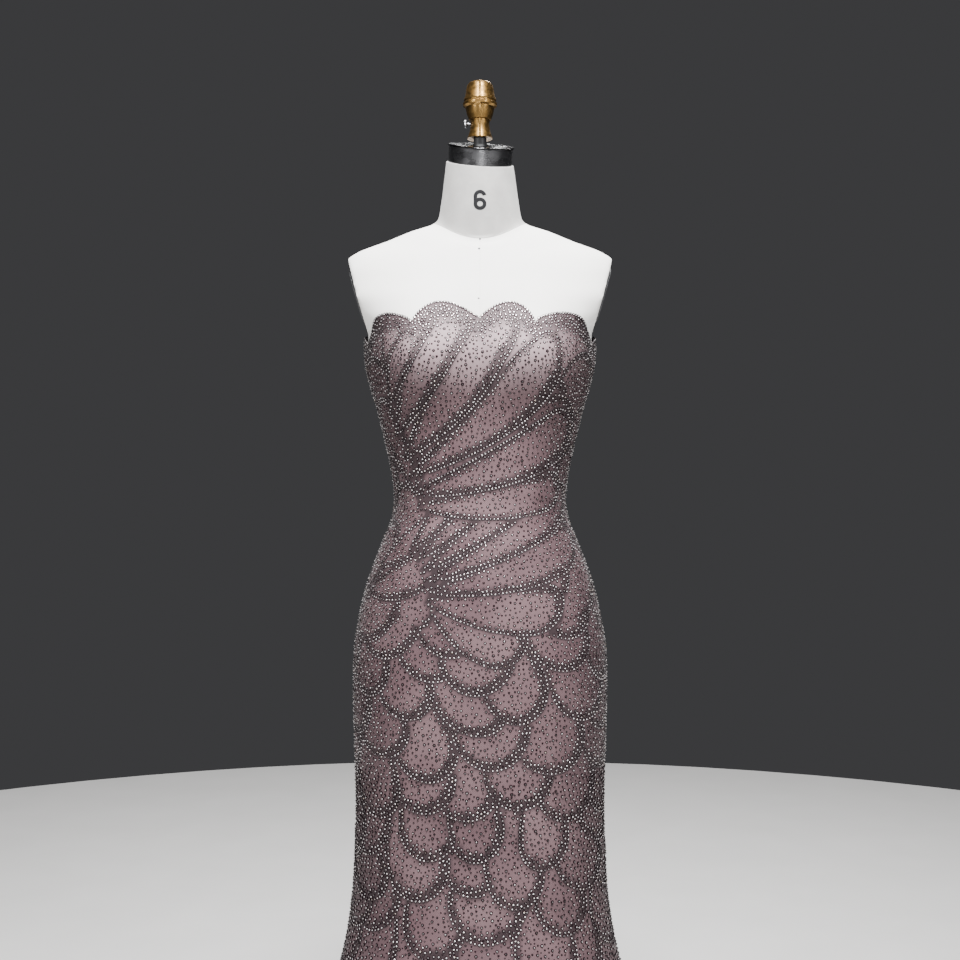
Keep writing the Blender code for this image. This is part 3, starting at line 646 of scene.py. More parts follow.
class GirthTable:
    """How far round the gown each angle is, for rows close together."""

    def __init__(self):
        self.angles = np.radians(np.arange(-90.0, 270.25, TABLE_DEGREES))
        self.rows = np.arange(0.0, CLOTH_TOP_ROW + 0.01, TABLE_ROWS)
        angle, row = np.meshgrid(self.angles, self.rows)
        points, _ = cloth_outside(angle, row)
        steps = np.linalg.norm(np.diff(points, axis=1), axis=2)
        lengths = np.concatenate((np.zeros((len(self.rows), 1)), np.cumsum(steps, axis=1)), axis=1)
        self.girths = lengths[:, -1]
        self.shares = lengths / self.girths[:, None]
        self.heights = height_at(np.zeros_like(self.rows), self.rows)
        even = np.linspace(0.0, 1.0, len(self.angles))
        self.even_angles = np.array([np.interp(even, row, self.angles) for row in self.shares])
        self.areas = (steps[1:] + steps[:-1]) / 2 * np.linalg.norm(np.diff(points, axis=0), axis=2)[:, 1:]

    def blend(self, table, column, row):
        """Values of a table at fractional columns and rows."""
        row = np.clip(row / TABLE_ROWS, 0, len(self.rows) - 1.001)
        column = np.clip(column, 0, len(self.angles) - 1.001)
        left, low = column.astype(int), row.astype(int)
        across, up = column - left, row - low
        lower = table[low, left] * (1 - across) + table[low, left + 1] * across
        upper = table[low + 1, left] * (1 - across) + table[low + 1, left + 1] * across
        return lower * (1 - up) + upper * up

    def share(self, angle, row):
        """How far round the gown these angles are."""
        degrees = (np.degrees(angle) + 90.0) % 360
        return self.blend(self.shares, degrees / TABLE_DEGREES, row)

    def angle(self, share, row):
        """The angles that are this far round the gown."""
        return self.blend(self.even_angles, (share % 1.0) * (len(self.angles) - 1), row)

    def girth(self, z):
        """The way round the gown at a height."""
        return np.interp(z, self.heights, self.girths)

    def place(self, share, z):
        """The angle and row of a point at this share and height."""
        row = row_at(np.zeros_like(z), z)
        for _ in range(3):
            angle = self.angle(share, row)
            row = row_at(angle, z)
        return angle, row


def share_apart(first, second):
    """How far apart two shares are, the shorter way round."""
    return (first - second + 0.5) % 1.0 - 0.5


def crease_height(share, z, girth):
    """How far the soft creases lift the cloth."""
    lift = np.zeros_like(z)
    for crease in CREASES:
        x = share_apart(share, crease.share_from) * girth
        run_x = share_apart(crease.share_to, crease.share_from) * girth
        up, run_up = z - crease.z_from, crease.z_to - crease.z_from
        along = np.clip((x * run_x + up * run_up) / (run_x**2 + run_up**2), 0.0, 1.0)
        away = np.hypot(x - along * run_x, up - along * run_up)
        fade = np.sin(math.pi * np.clip(0.08 + along * 0.84, 0, 1))
        lift = np.maximum(lift, crease.height * fade * np.exp(-((away / crease.width) ** 2)))
    return lift


# The petals


def make_petals(table):
    """Every petal of the gown, from the ones on top to the ones underneath."""
    chance = np.random.default_rng(BEAD_SEED)
    petals = []
    for plumes in (BODICE_PLUMES, HIP_PLUMES):
        for half in (0.0, 0.5):
            for plume in plumes:
                share = (plume.across / float(table.girth(plume.z)) + half) % 1
                heading = math.radians(plume.heading)
                size = plume.length, plume.width, PLUME_ROOT, plume.bend
                petals.append(Petal(share, plume.z, heading, *size))
    for row in FEATHER_ROWS + PETAL_ROWS:
        girth = float(table.girth(row.tip_z))
        for number in range(row.count):
            off_share, off_z, off_heading, off_width = chance.uniform(-1.0, 1.0, 4)
            share = (number + 0.22 * off_share) / row.count + row.first
            tip_z = max(row.tip_z + off_z * 0.016, HEM_Z + 0.003)
            heading = math.radians(row.heading + off_heading * 15)
            width = girth / row.count * row.overlap * (1 + 0.20 * off_width)
            share -= math.cos(heading) * row.length / girth
            z = tip_z - math.sin(heading) * row.length
            petals.append(Petal(share % 1, z, heading, row.length, width, PETAL_ROOT, 0.08 * off_share))
    return petals


def half_width_at(petal, along):
    """Half the petal's width at a distance along it, up to where its rounded tip starts."""
    straight = petal.length - tip_length(petal)
    share = np.clip(along / max(straight, 1e-6), 0.0, 1.0)
    return petal.width / 2 * (petal.root + (1 - petal.root) * np.sin(share * math.pi / 2))


def tip_length(petal):
    """How long the petal's rounded tip is."""
    return min(petal.width * 0.55, petal.length * 0.6)


def rim_distance(petal, across, up):
    """How far inside a petal's rim each point is, and how far along the petal."""
    cos, sin = math.cos(petal.heading), math.sin(petal.heading)
    along = across * cos + up * sin
    off = up * cos - across * sin - petal.bend * petal.length * (along / petal.length) ** 2
    tip = tip_length(petal)
    straight = petal.length - tip
    half = petal.width / 2
    side = half_width_at(petal, along) - np.abs(off)
    past = np.maximum(along - straight, 0.0)
    spread = np.hypot(off / half, past / tip)
    slope = np.hypot(off / half**2, past / tip**2)
    round_end = (1 - spread**2) / np.maximum(2 * slope, 1e-9)
    inside = np.where(along > straight, np.minimum(round_end, half), side)
    return np.where(along < 0, -FREE, inside), along, off


class PetalField:
    """Which petal shows at each point of the gown, and how far its rim and the rims over it are."""

    def __init__(self, table, petals, share, z):
        girth = table.girth(z)
        self.owner = np.full(len(share), -1)
        self.inside = np.full(len(share), FREE)
        self.outside = np.full(len(share), FREE)
        self.lean = np.zeros(len(share))
        for number, petal in enumerate(petals):
            reach = petal.length * 1.1 + petal.width
            across = share_apart(share, petal.share) * girth
            up = z - petal.z
            near = np.flatnonzero((self.owner < 0) & (np.abs(across) < reach) & (np.abs(up) < reach))
            inside, along, off = rim_distance(petal, across[near], up[near])
            mine = inside > 0
            won = near[mine]
            self.owner[won] = number
            self.inside[won] = inside[mine]
            tip = tip_length(petal)
            past = (along[mine] - petal.length + tip) / tip
            turn = np.arctan2(off[mine] / petal.width * 2, past)
            beaded_side = RIM_SIDE_UP if petal.heading > 0 else RIM_SIDE_DOWN
            self.lean[won] = np.cos((turn - beaded_side) / 2) ** 2
            passed = near[~mine]
            self.outside[passed] = np.minimum(self.outside[passed], -inside[~mine])


def rim_run(petal, inset, spacing):
    """Points along a petal's rim, inset from it, as distances across and up from its root."""
    tip, half = tip_length(petal), petal.width / 2
    straight = petal.length - tip
    sides = np.linspace(0.12 * petal.length, straight, 24)
    turn = np.linspace(0.0, math.pi, 40)[1:-1]
    width = half_width_at(petal, sides) - inset
    along = np.concatenate((sides, straight + np.sin(turn) * (tip - inset), sides[::-1]))
    off = np.concatenate((width, np.cos(turn) * (half - inset), -width[::-1]))
    lengths = np.concatenate(([0.0], np.cumsum(np.hypot(np.diff(along), np.diff(off)))))
    count = int((2 * straight + half + tip) / spacing)  # the same for every inset
    even = np.linspace(0.0, lengths[-1], count)
    along, off = np.interp(even, lengths, along), np.interp(even, lengths, off)
    off = off + petal.bend * petal.length * (along / petal.length) ** 2
    cos, sin = math.cos(petal.heading), math.sin(petal.heading)
    return along * cos - off * sin, along * sin + off * cos


class GownDesign:
    """The gown's surface and petals, worked out once and used by the cloth and by the beads."""

    def __init__(self):
        self.table = GirthTable()
        self.petals = make_petals(self.table)

    def surface(self, angle, row):
        """Points on the creased cloth, the directions out from it, their shares and heights."""
        points, normals = cloth_outside(angle, row)
        share, z = self.table.share(angle, row), points[..., 2]
        lift = crease_height(share, z, self.table.girth(z))
        return points + normals * lift[..., None], normals, share, z

    def field(self, share, z):
        """Which petal shows at each of these points."""
        return PetalField(self.table, self.petals, share, z)

    def rim_points(self, inset, spacing):
        """Points along every rim that shows: share, height and number of the petal, in order."""
        shares, heights, owners = [], [], []
        for number, petal in enumerate(self.petals):
            across, up = rim_run(petal, inset, spacing)
            z = petal.z + up
            shares.append(petal.share + across / self.table.girth(z))
            heights.append(z)
            owners.append(np.full(len(z), number))
        share, z, owner = np.concatenate(shares), np.concatenate(heights), np.concatenate(owners)
        return share % 1.0, z, owner

    def showing(self, share, z, owner):
        """Where a petal's own rim is on the gown and isn't covered."""
        seen = self.field(share, z)
        angle, _ = self.table.place(share, np.clip(z, HEM_Z, ABOVE_GOWN_Z))
        on_gown = (z > HEM_Z + 0.002) & (z < neckline_z(angle) - 0.003)
        return on_gown & (seen.owner == owner) & (seen.outside > RIM_COVERED)


@cache
def design():
    """The one design that the cloth and the beads share."""
    return GownDesign()


# The beads


def thin_out(points, reach):
    """Keeps points in their order and drops each later one that is within reach of a kept one."""
    tree = KDTree(len(points))
    for number, point in enumerate(points):
        tree.insert(point, number)
    tree.balance()
    kept = np.ones(len(points), dtype=bool)
    for number, point in enumerate(points):
        if kept[number]:
            for _, other, _ in tree.find_range(point, reach[number]):
                if other > number:
                    kept[other] = False
    return np.flatnonzero(kept)


def near_zip(points):
    """Points too close to the zip for a bead."""
    return (np.abs(points[:, 0]) < 0.0052) & (points[:, 1] > 0) & (points[:, 2] > ZIP_FOOT_Z - 0.004)


def candidates(plan, count, chance):
    """Angles and rows spread evenly over the gown."""
    areas = plan.table.areas
    total = np.cumsum(areas.ravel())
    cell = np.searchsorted(total, chance.uniform(0, total[-1], count))
    low, left = np.divmod(cell, areas.shape[1])
    row = (low + chance.uniform(0, 1, count)) * TABLE_ROWS
    angle = np.radians(-90 + (left + chance.uniform(0, 1, count)) * TABLE_DEGREES)
    z = height_at(angle, row)
    fits = (z > HEM_Z + 0.003) & (z < neckline_z(angle) - 0.0022)
    return angle[fits], row[fits]


def rim_crowding(seen, band_share=1.0):
    """How much each point lies in the band of close beads inside a rim, which is wider on one side."""
    band = (0.0045 + 0.0115 * seen.lean) * band_share
    return np.clip(1 - (seen.inside - band) / 0.005, 0.0, 1.0)


def side_crowding(angle):
    """How much each point lies at the gown's sides, where the beads close up."""
    return np.clip((np.abs(np.cos(angle)) - 0.50) / 0.34, 0.0, 1.0)


def edge_crowding(angle, z, reach):
    """How near each point is to the neckline."""
    return np.clip(1 - (neckline_z(angle) - z) / reach, 0.0, 1.0)


def near_neckline(angle, z):
    """How much each point lies in the band of close beads below the neckline."""
    return np.minimum(2 * edge_crowding(angle, z, NECKLINE_BAND), 1.0)


def bead_spacing(seen, angle, z, chance, settings):
    """How far apart the beads are: close at rims, sides and neckline, wide in a petal's middle."""
    at_rim = rim_crowding(seen, chance.uniform(0.7, 1.3, len(z)))
    at_edge = near_neckline(angle, z)
    crowding = np.maximum(np.maximum(at_rim, 0.8 * side_crowding(angle)), at_edge)
    spacing = settings.rim_spacing + (settings.middle_spacing - settings.rim_spacing) * (1 - crowding)
    spacing = spacing * (1 - 0.14 * at_edge)
    return spacing * (1 + 0.30 * np.clip((0.66 - z) / 0.50, 0.0, 1.0))


def gown_regions(points):
    """The beads' pieces: front and back, upper and lower."""
    front, high = points[:, 1] < 0, points[:, 2] > REGION_SPLIT_Z
    yield "front_upper", front & high
    yield "front_lower", front & ~high
    yield "back_upper", ~front & high
    yield "back_lower", ~front & ~high


def cup_shape(sides):
    """A bead in its cup: a low brim, and the bead that stands up out of it."""
    bm = bmesh.new()
    bmesh.ops.create_cone(bm, cap_ends=False, segments=sides, radius1=1.0, radius2=0.46, depth=0.24)
    bmesh.ops.translate(bm, verts=bm.verts, vec=(0, 0, -0.36))
    bmesh.ops.create_cone(bm, cap_ends=False, segments=sides, radius1=0.46, radius2=0.0, depth=0.7)
    bmesh.ops.remove_doubles(bm, verts=bm.verts, dist=0.13)
    bmesh.ops.translate(bm, verts=bm.verts, vec=(0, 0, 0.48))
    return bm


def dome_shape(sides, height):
    """The upper half of a small ball."""
    bm = bmesh.new()
    bmesh.ops.create_uvsphere(bm, u_segments=sides, v_segments=4, radius=1.0)
    everything = list(bm.verts) + list(bm.edges) + list(bm.faces)
    bmesh.ops.bisect_plane(bm, geom=everything, plane_co=(0, 0, 0), plane_no=(0, 0, -1), clear_outer=True)
    bmesh.ops.scale(bm, verts=bm.verts, vec=(1.0, 1.0, height))
    return bm


def cone_shape(sides, height):
    """A smaller bead: a cone, which smooth shading rounds off."""
    bm = bmesh.new()
    bmesh.ops.create_cone(bm, cap_ends=False, segments=sides, radius1=1.0, radius2=0.0, depth=height)
    bmesh.ops.remove_doubles(bm, verts=bm.verts, dist=0.001)
    bmesh.ops.translate(bm, verts=bm.verts, vec=(0, 0, height / 2))
    return bm


def bead_mesh(shape, points, normals, sizes, glints, chance):
    """Beads with two values for their material: how near a point is to the top, and how bright its painted
    highlight is.
    """
    near_top = np.array([1 - math.hypot(vert.co.x, vert.co.y) for vert in shape.verts])
    mesh = scatter_mesh(shape, points, normals, sizes, chance.uniform(0, math.tau, len(points)))
    set_value(mesh, "near_top", np.tile(near_top, len(points)))
    set_value(mesh, "glint", np.repeat(glints, len(near_top)))
    return mesh


# Materials


class Wiring:
    """Adds nodes to one tree and links them."""

    def __init__(self, tree):
        self.tree = tree
        self.column = 0

    def feed(self, socket, value):
        """Links a socket to another one, or sets it to a value."""
        if isinstance(value, bpy.types.NodeSocket):
            self.tree.links.new(value, socket)
        else:
            socket.default_value = value

    def add(self, kind, inputs=None, **settings):
        """A new node, with its settings and what goes into it."""
        node = self.tree.nodes.new(kind)
        self.column += 1
        node.location = (self.column * 190 - 2400, 0)
        for name, value in settings.items():
            setattr(node, name, value)
        for name, value in (inputs or {}).items():
            self.feed(node.inputs[name], value)
        return node

    def math(self, operation, *values):
        """A sum, a product or the like."""
        return self.add("ShaderNodeMath", dict(enumerate(values)), operation=operation).outputs[0]

    def mix(self, factor, first, second):
        """A colour between two others."""
        return self.add("ShaderNodeMix", {0: factor, 6: first, 7: second}, data_type="RGBA").outputs[2]

    def ramp(self, value, low, high):
        """A smooth step from 0 at the low value to 1 at the high one."""
        inputs = {"Value": value, "From Min": low, "From Max": high}
        return self.add("ShaderNodeMapRange", inputs, interpolation_type="SMOOTHSTEP").outputs[0]

    def noise(self, vector, scale, detail, roughness=0.5):
        """The strength of a noise pattern."""
        inputs = {"Vector": vector, "Scale": scale, "Detail": detail, "Roughness": roughness}
        return self.add("ShaderNodeTexNoise", inputs).outputs["Fac"]

    def place(self):
        """The place on the piece, in metres."""
        return self.add("ShaderNodeTexCoord").outputs["Object"]

    def flat_cloth(self):
        """The place on the flat cloth, in metres."""
        return self.add("ShaderNodeUVMap", uv_map="flat_cloth").outputs[0]

    def value(self, name):
        """The value of this name that the mesh carries."""
        return self.add("ShaderNodeAttribute", attribute_name=name).outputs["Fac"]

    def group(self, group, **inputs):
        """The outputs of a node group with these inputs."""
        node = self.add("ShaderNodeGroup", node_tree=group)
        for label, value in inputs.items():
            self.feed(node.inputs[label.replace("_", " ")], value)
        return node.outputs


def make_group(name, inputs, outputs):
    """A shader node group with named sockets, the wiring inside it and what it is given."""
    group = bpy.data.node_groups.new(name, "ShaderNodeTree")
    for label, kind, value in inputs:
        socket = group.interface.new_socket(name=label, in_out="INPUT", socket_type="NodeSocket" + kind)
        if value is not None:
            socket.default_value = value
    for label in outputs:
        group.interface.new_socket(name=label, in_out="OUTPUT", socket_type="NodeSocketFloat")
    wires = Wiring(group)
    return group, wires, wires.add("NodeGroupInput").outputs


def end_group(wires, **results):
    """Feeds a group's outputs."""
    end = wires.add("NodeGroupOutput")
    for label, socket in results.items():
        wires.feed(end.inputs[label], socket)


def weave_group():
    """Threads over and under, from a flat vector in metres."""
    name = "Thread weave"
    if name in bpy.data.node_groups:
        return bpy.data.node_groups[name]
    inputs = (
        ("Vector", "Vector", None),
        ("Threads per metre", "Float", 1000.0),
        ("Unevenness", "Float", 0.5),
    )
    group, wires, given = make_group(name, inputs, ("Height", "Slub"))
    scaling = {0: given["Vector"], "Scale": given["Threads per metre"]}
    scaled = wires.add("ShaderNodeVectorMath", scaling, operation="SCALE").outputs[0]
    slub = wires.noise(scaled, 0.07, 3.0)
    apart = wires.add("ShaderNodeSeparateXYZ", {0: scaled})
    drift = wires.math("MULTIPLY", slub, given["Unevenness"])
    turns = []
    for axis in ("X", "Y"):
        phase = wires.math("ADD", apart.outputs[axis], drift)
        turns.append(wires.math("SINE", wires.math("MULTIPLY", phase, math.pi)))
    both = wires.math("MULTIPLY", *turns)
    end_group(wires, Height=wires.math("MULTIPLY_ADD", both, 0.5, 0.5), Slub=slub)
    return group


def marks_group():
    """Small marks of handling: patches that vary the shine, and fine scratches."""
    name = "Handling marks"
    if name in bpy.data.node_groups:
        return bpy.data.node_groups[name]
    inputs = (
        ("Vector", "Vector", None),
        ("Scale", "Float", 30.0),
        ("Stretch", "Vector", (1.0, 1.0, 1.0)),
    )
    group, wires, given = make_group(name, inputs, ("Patches", "Scratches"))
    patches = wires.noise(given["Vector"], given["Scale"], 5.0, 0.6)
    stretching = {0: given["Vector"], 1: given["Stretch"]}
    drawn = wires.add("ShaderNodeVectorMath", stretching, operation="MULTIPLY").outputs[0]
    scratches = wires.noise(drawn, given["Scale"], 4.0)
    end_group(wires, Patches=wires.ramp(patches, 0.35, 0.68), Scratches=scratches)
    return group


def new_material(name):
    """A new material, its shader and its wiring."""
    material = bpy.data.materials.new(name)
    material.use_nodes = True
    shader = material.node_tree.nodes["Principled BSDF"]
    return material, shader, Wiring(material.node_tree)


def set_shader(wires, shader, colour, roughness, height=None, bump=0.3, distance=0.0002, **constants):
    """Feeds the shader's own sockets. Constants are set on them directly."""
    wires.feed(shader.inputs["Base Color"], colour)
    wires.feed(shader.inputs["Roughness"], roughness)
    if height is not None:
        relief = wires.add("ShaderNodeBump", {"Strength": bump, "Distance": distance, "Height": height})
        wires.feed(shader.inputs["Normal"], relief.outputs[0])
    for label, value in constants.items():
        shader.inputs[label.replace("_", " ")].default_value = value


def gown_cloth_material(settings):
    """Net over satin, with painted light over the bust and painted shade, much darker, under the beaded rims.
    """
    material, shader, wires = new_material("Net over satin")
    flat = wires.flat_cloth()
    net = wires.group(weave_group(), Vector=flat, Threads_per_metre=720.0, Unevenness=0.4)
    cloud = wires.ramp(wires.noise(flat, 9.0, 4.0), 0.3, 0.7)
    lit = wires.mix(cloud, settings.satin, settings.satin_warm)
    # Painted light: the satin is drawn paler over the bust's top, where it catches the light.
    lit = wires.mix(wires.value("pale"), lit, settings.satin_painted_light)
    threaded = wires.mix(wires.math("MULTIPLY", net["Height"], 0.28), lit, settings.net)
    # Painted shade: much darker between close beads, under the rims above and below the neckline.
    colour = wires.mix(wires.value("painted_shade"), threaded, settings.painted_shade_colour)
    rough = wires.math("MULTIPLY_ADD", net["Slub"], 0.25, 0.50)
    constants = {"Sheen_Weight": 0.06, "Sheen_Roughness": 0.4, "Specular_IOR_Level": 0.22}
    set_shader(wires, shader, colour, rough, net["Height"], 0.35, 0.0003, **constants)
    return material


def bead_material(name, dark, light, roughness, metallic):
    """Glass beads, dark at the foot, with a painted highlight round the top, each of its own tone."""
    material, shader, wires = new_material(name)
    tint = wires.noise(wires.place(), 420.0, 1.0)
    # Painted highlight: each bead's top is drawn near white, of its own tone, and smoother so it also catches
    # the lamps.
    painted_highlight_tone = wires.mix(wires.ramp(tint, 0.52, 0.78), light, (0.80, 0.64, 0.52, 1.0))
    painted_highlight = wires.math("MULTIPLY", wires.ramp(wires.value("near_top"), 0.50, 0.62), wires.value("glint"))
    uneven = wires.math("MULTIPLY_ADD", tint, 0.12, 0.5)
    rough = wires.math("MULTIPLY_ADD", painted_highlight, roughness - 0.56, uneven)
    set_shader(wires, shader, wires.mix(painted_highlight, dark, painted_highlight_tone), rough, Specular_IOR_Level=0.5)
    wires.feed(shader.inputs["Metallic"], wires.math("MULTIPLY_ADD", painted_highlight, metallic - 1, 1.0))
    return material


def linen_material(settings):
    """Plain woven linen stretched over the form, worn in patches, and greyer over the neck."""
    material, shader, wires = new_material("Form linen")
    weave = wires.group(weave_group(), Vector=wires.flat_cloth(), Threads_per_metre=1100.0, Unevenness=0.9)
    marks = wires.group(marks_group(), Vector=wires.place(), Scale=7.0)
    neck = wires.value("neck")
    plain = wires.mix(neck, settings.linen, settings.linen_neck)
    worn = wires.mix(wires.math("MULTIPLY", marks["Patches"], 0.35), plain, settings.linen_worn)
    strands = wires.mix(neck, settings.linen_worn, settings.linen_neck)
    colour = wires.mix(wires.math("MULTIPLY", weave["Height"], 0.16), worn, strands)
    set_shader(wires, shader, colour, 0.82, weave["Height"], 0.4, 0.00025, Sheen_Weight=0.15)
    return material


def metal_material(name, colour, deep, roughness, metallic, scale, stretch=(1.0, 1.0, 1.0), bump=0.08):
    """A metal with its grain, patches of wear and fine scratches."""
    material, shader, wires = new_material(name)
    marks = wires.group(marks_group(), Vector=wires.place(), Scale=scale, Stretch=stretch)
    shown = wires.mix(wires.math("MULTIPLY", marks["Patches"], 0.75), colour, deep)
    spread = wires.math("MULTIPLY_ADD", marks["Patches"], 0.16, roughness - 0.05)
    rough = wires.math("MULTIPLY_ADD", marks["Scratches"], 0.10, spread)
    set_shader(wires, shader, shown, rough, marks["Scratches"], bump, Metallic=metallic)
    return material


def thread_material(name, colour, deep, scale):
    """Twisted thread or tape."""
    material, shader, wires = new_material(name)
    pattern = {"Vector": wires.place(), "Scale": scale, "Distortion": 2.0, "Detail": 2.0}
    twist = wires.add("ShaderNodeTexWave", pattern).outputs["Fac"]
    set_shader(wires, shader, wires.mix(twist, deep, colour), 0.7, twist, 0.4)
    return material


def mottled_material(name, scale, detail, first, second, roughness, step=None, **finish):
    """A plain surface that drifts between two colours, in a smooth step where one is given."""
    material, shader, wires = new_material(name)
    grain = wires.noise(wires.place(), scale, detail)
    share = wires.ramp(grain, *step) if step else grain
    set_shader(wires, shader, wires.mix(share, first, second), roughness, grain, **finish)
    return material


# Settings


def colour_property(name, description, value):
    """A colour that a user can change."""
    return bpy.props.FloatVectorProperty(
        name=name, description=description, default=(*value, 1.0), size=4, min=0.0, max=1.0, subtype="COLOR"
    )


def length_property(name, description, value):
    """A small length that a user can change."""
    limits = {"min": 0.0002, "max": 0.05, "precision": 4, "unit": "LENGTH", "subtype": "DISTANCE"}
    return bpy.props.FloatProperty(name=name, description=description, default=value, **limits)


class GownSettings(bpy.types.PropertyGroup):
    """Sizes and colours of the gown."""

    satin: colour_property("Satin", "Colour of the satin under the net", (0.084, 0.049, 0.055))
    satin_warm: colour_property("Satin, lighter", "Where the satin looks paler", (0.140, 0.088, 0.095))
    # Painted light: the colour the satin is drawn over the bust's top, where it catches the light.
    satin_painted_light: colour_property("Satin, bust", "The paler satin over the bust", (0.33, 0.248, 0.262))
    net: colour_property("Net", "Colour of the net's strands", (0.045, 0.026, 0.030))
    # Painted shade: the cloth is drawn this dark between close beads, under the rims and below the neckline.
    painted_shade_colour: colour_property("Shade", "Colour of the cloth between close beads", (0.011, 0.0065, 0.008))
    bead_dark: colour_property("Bead, dark", "Foot of the beads", (0.012, 0.006, 0.008))
    # Painted highlight: the colour drawn on each bead's top.
    bead_painted_highlight: colour_property("Bead, light", "Top of the beads, where the lining shows", (0.95, 0.90, 0.91))
    bead_radius: length_property("Bead radius", "Radius of the beads along the rims", 0.0025)
    seed_radius: length_property("Seed bead radius", "Radius of the small beads between", 0.0015)
    rim_spacing: length_property("Spacing at the rims", "Between beads inside a petal's rim", 0.0045)
    middle_spacing: length_property("Spacing in the middle", "Between beads in a petal's middle", 0.0086)
    seed_spacing: length_property("Seed bead spacing", "Between the small beads", 0.0050)
    cloth_thickness: length_property("Cloth thickness", "Net and satin together", 0.0012)


class FormSettings(bpy.types.PropertyGroup):
    """Colours of the dress form and its stand."""

    linen: colour_property("Linen", "Colour of the form's cover", (0.87, 0.855, 0.83))
    linen_worn: colour_property("Linen, worn", "Where the cover is handled", (0.74, 0.72, 0.69))
    linen_neck: colour_property("Linen, neck", "The greyer cover of the neck", (0.262, 0.256, 0.248))
    print_black: colour_property("Print", "Colour of the size number", (0.004, 0.004, 0.005))
    steel: colour_property("Steel", "Polished steel of the neck band", (0.25, 0.25, 0.26))
    brass: colour_property("Brass", "Cast brass of the finial", (0.32, 0.19, 0.062))
    painted: colour_property("Painted steel", "Rod, base and arm plates", (0.05, 0.05, 0.055))


# Operators


class GOWN_OT_cloth(bpy.types.Operator):
    """Makes the three panels of the gown as thin cloth over their solids"""

    bl_idname = "gown.cloth"
    bl_label = "Gown cloth"

    def execute(self, context):
        settings = context.scene.gown_settings
        material = gown_cloth_material(settings)
        for name, start, end in (("front", -180, 0), ("back_left", 0, 90), ("back_right", 90, 180)):
            self.add_panel(name, start, end, material, settings)
        return {"FINISHED"}

    def add_panel(self, name, start, end, material, settings):
        """One panel between two angles in degrees, with its wall and its size as flat cloth."""
        plan = design()
        angles = np.radians(np.arange(start, end + 0.01, COLUMN_STEP))
        rows = self.panel_rows(angles)
        mesh, column, row = grid_mesh(*rows.shape)
        angle, at_row = angles[column], rows[column, row]
        points, _, share, z = plan.surface(angle, at_row)
        self.set_edges(points, column == 0, column == len(angles) - 1, name)
        set_points(mesh, points)
        self.set_shades(mesh, plan.field(share, np.minimum(z, neckline_z(angle) - 0.001)), angle, z)
        set_uv(mesh, np.stack((share_apart(share, 0.0) * plan.table.girth(z), z), axis=-1))
        panel = add_object("gown_cloth_" + name, mesh, material, "gown_on_form")
        wall = panel.modifiers.new("Cloth thickness", "SOLIDIFY")
        wall.thickness = settings.cloth_thickness
        wall.offset = -1.0
        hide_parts("gown_" + name)

    def panel_rows(self, angles):
        """Each column's rows: level ones up to the chest, and from there even ones up to the neckline."""
        skirt = np.linspace(HEM_Z, THIGH_Z, 72, endpoint=False)
        heights = np.concatenate((skirt, np.linspace(THIGH_Z, CHEST_Z, 108)))
        low_rows = row_at(np.zeros_like(heights), heights)
        top = row_at(angles, neckline_z(angles))
        steps = np.linspace(0.0, 1.0, 23)[1:]
        high_rows = low_rows[-1] + (top[:, None] - low_rows[-1]) * steps
        return np.concatenate((np.broadcast_to(low_rows, (len(angles), len(low_rows))), high_rows), axis=1)

    def set_edges(self, points, first, last, name):
        """The side seams and the centre back lie a hair apart, with room for the zip."""
        gap = SEAM_GAP / 2
        if name == "front":
            points[first | last, 1] = -gap
            return
        zip_gap = np.where(points[:, 2] >= ZIP_FOOT_Z, ZIP_HALF_WIDTH + SEAM_GAP, gap)
        at_side, at_back, side = (first, last, 1) if name == "back_left" else (last, first, -1)
        points[at_side, 1] = gap
        points[at_back, 0] = side * zip_gap[at_back]

    def set_shades(self, mesh, seen, angle, z):
        """The painted shade on the cloth between the beads and under the rims, and the painted light over the
        bust.
        """
        sides = side_crowding(angle)
        # Painted shadow: a dark strip outside each rim, where the petal above would shade the one under it.
        under = np.exp(-seen.outside / 0.0024) * 0.6
        # Painted shade between close beads: in each rim's band, at the sides and below the neckline.
        shade = np.maximum(np.maximum(rim_crowding(seen) * 0.86, under), sides * 0.45)
        shade = np.maximum(shade, near_neckline(angle, z) * 0.88)
        # Painted light: paler satin over the front of the bust's top, fading at the sides, with less painted
        # shade there.
        pale = np.clip((z - PAINTED_LIGHT_FROM_Z) / (PAINTED_LIGHT_TO_Z - PAINTED_LIGHT_FROM_Z), 0.0, 1.0) * (1 - sides)
        set_value(mesh, "painted_shade", shade * (1 - 0.2 * pale))
        set_value(mesh, "pale", pale)


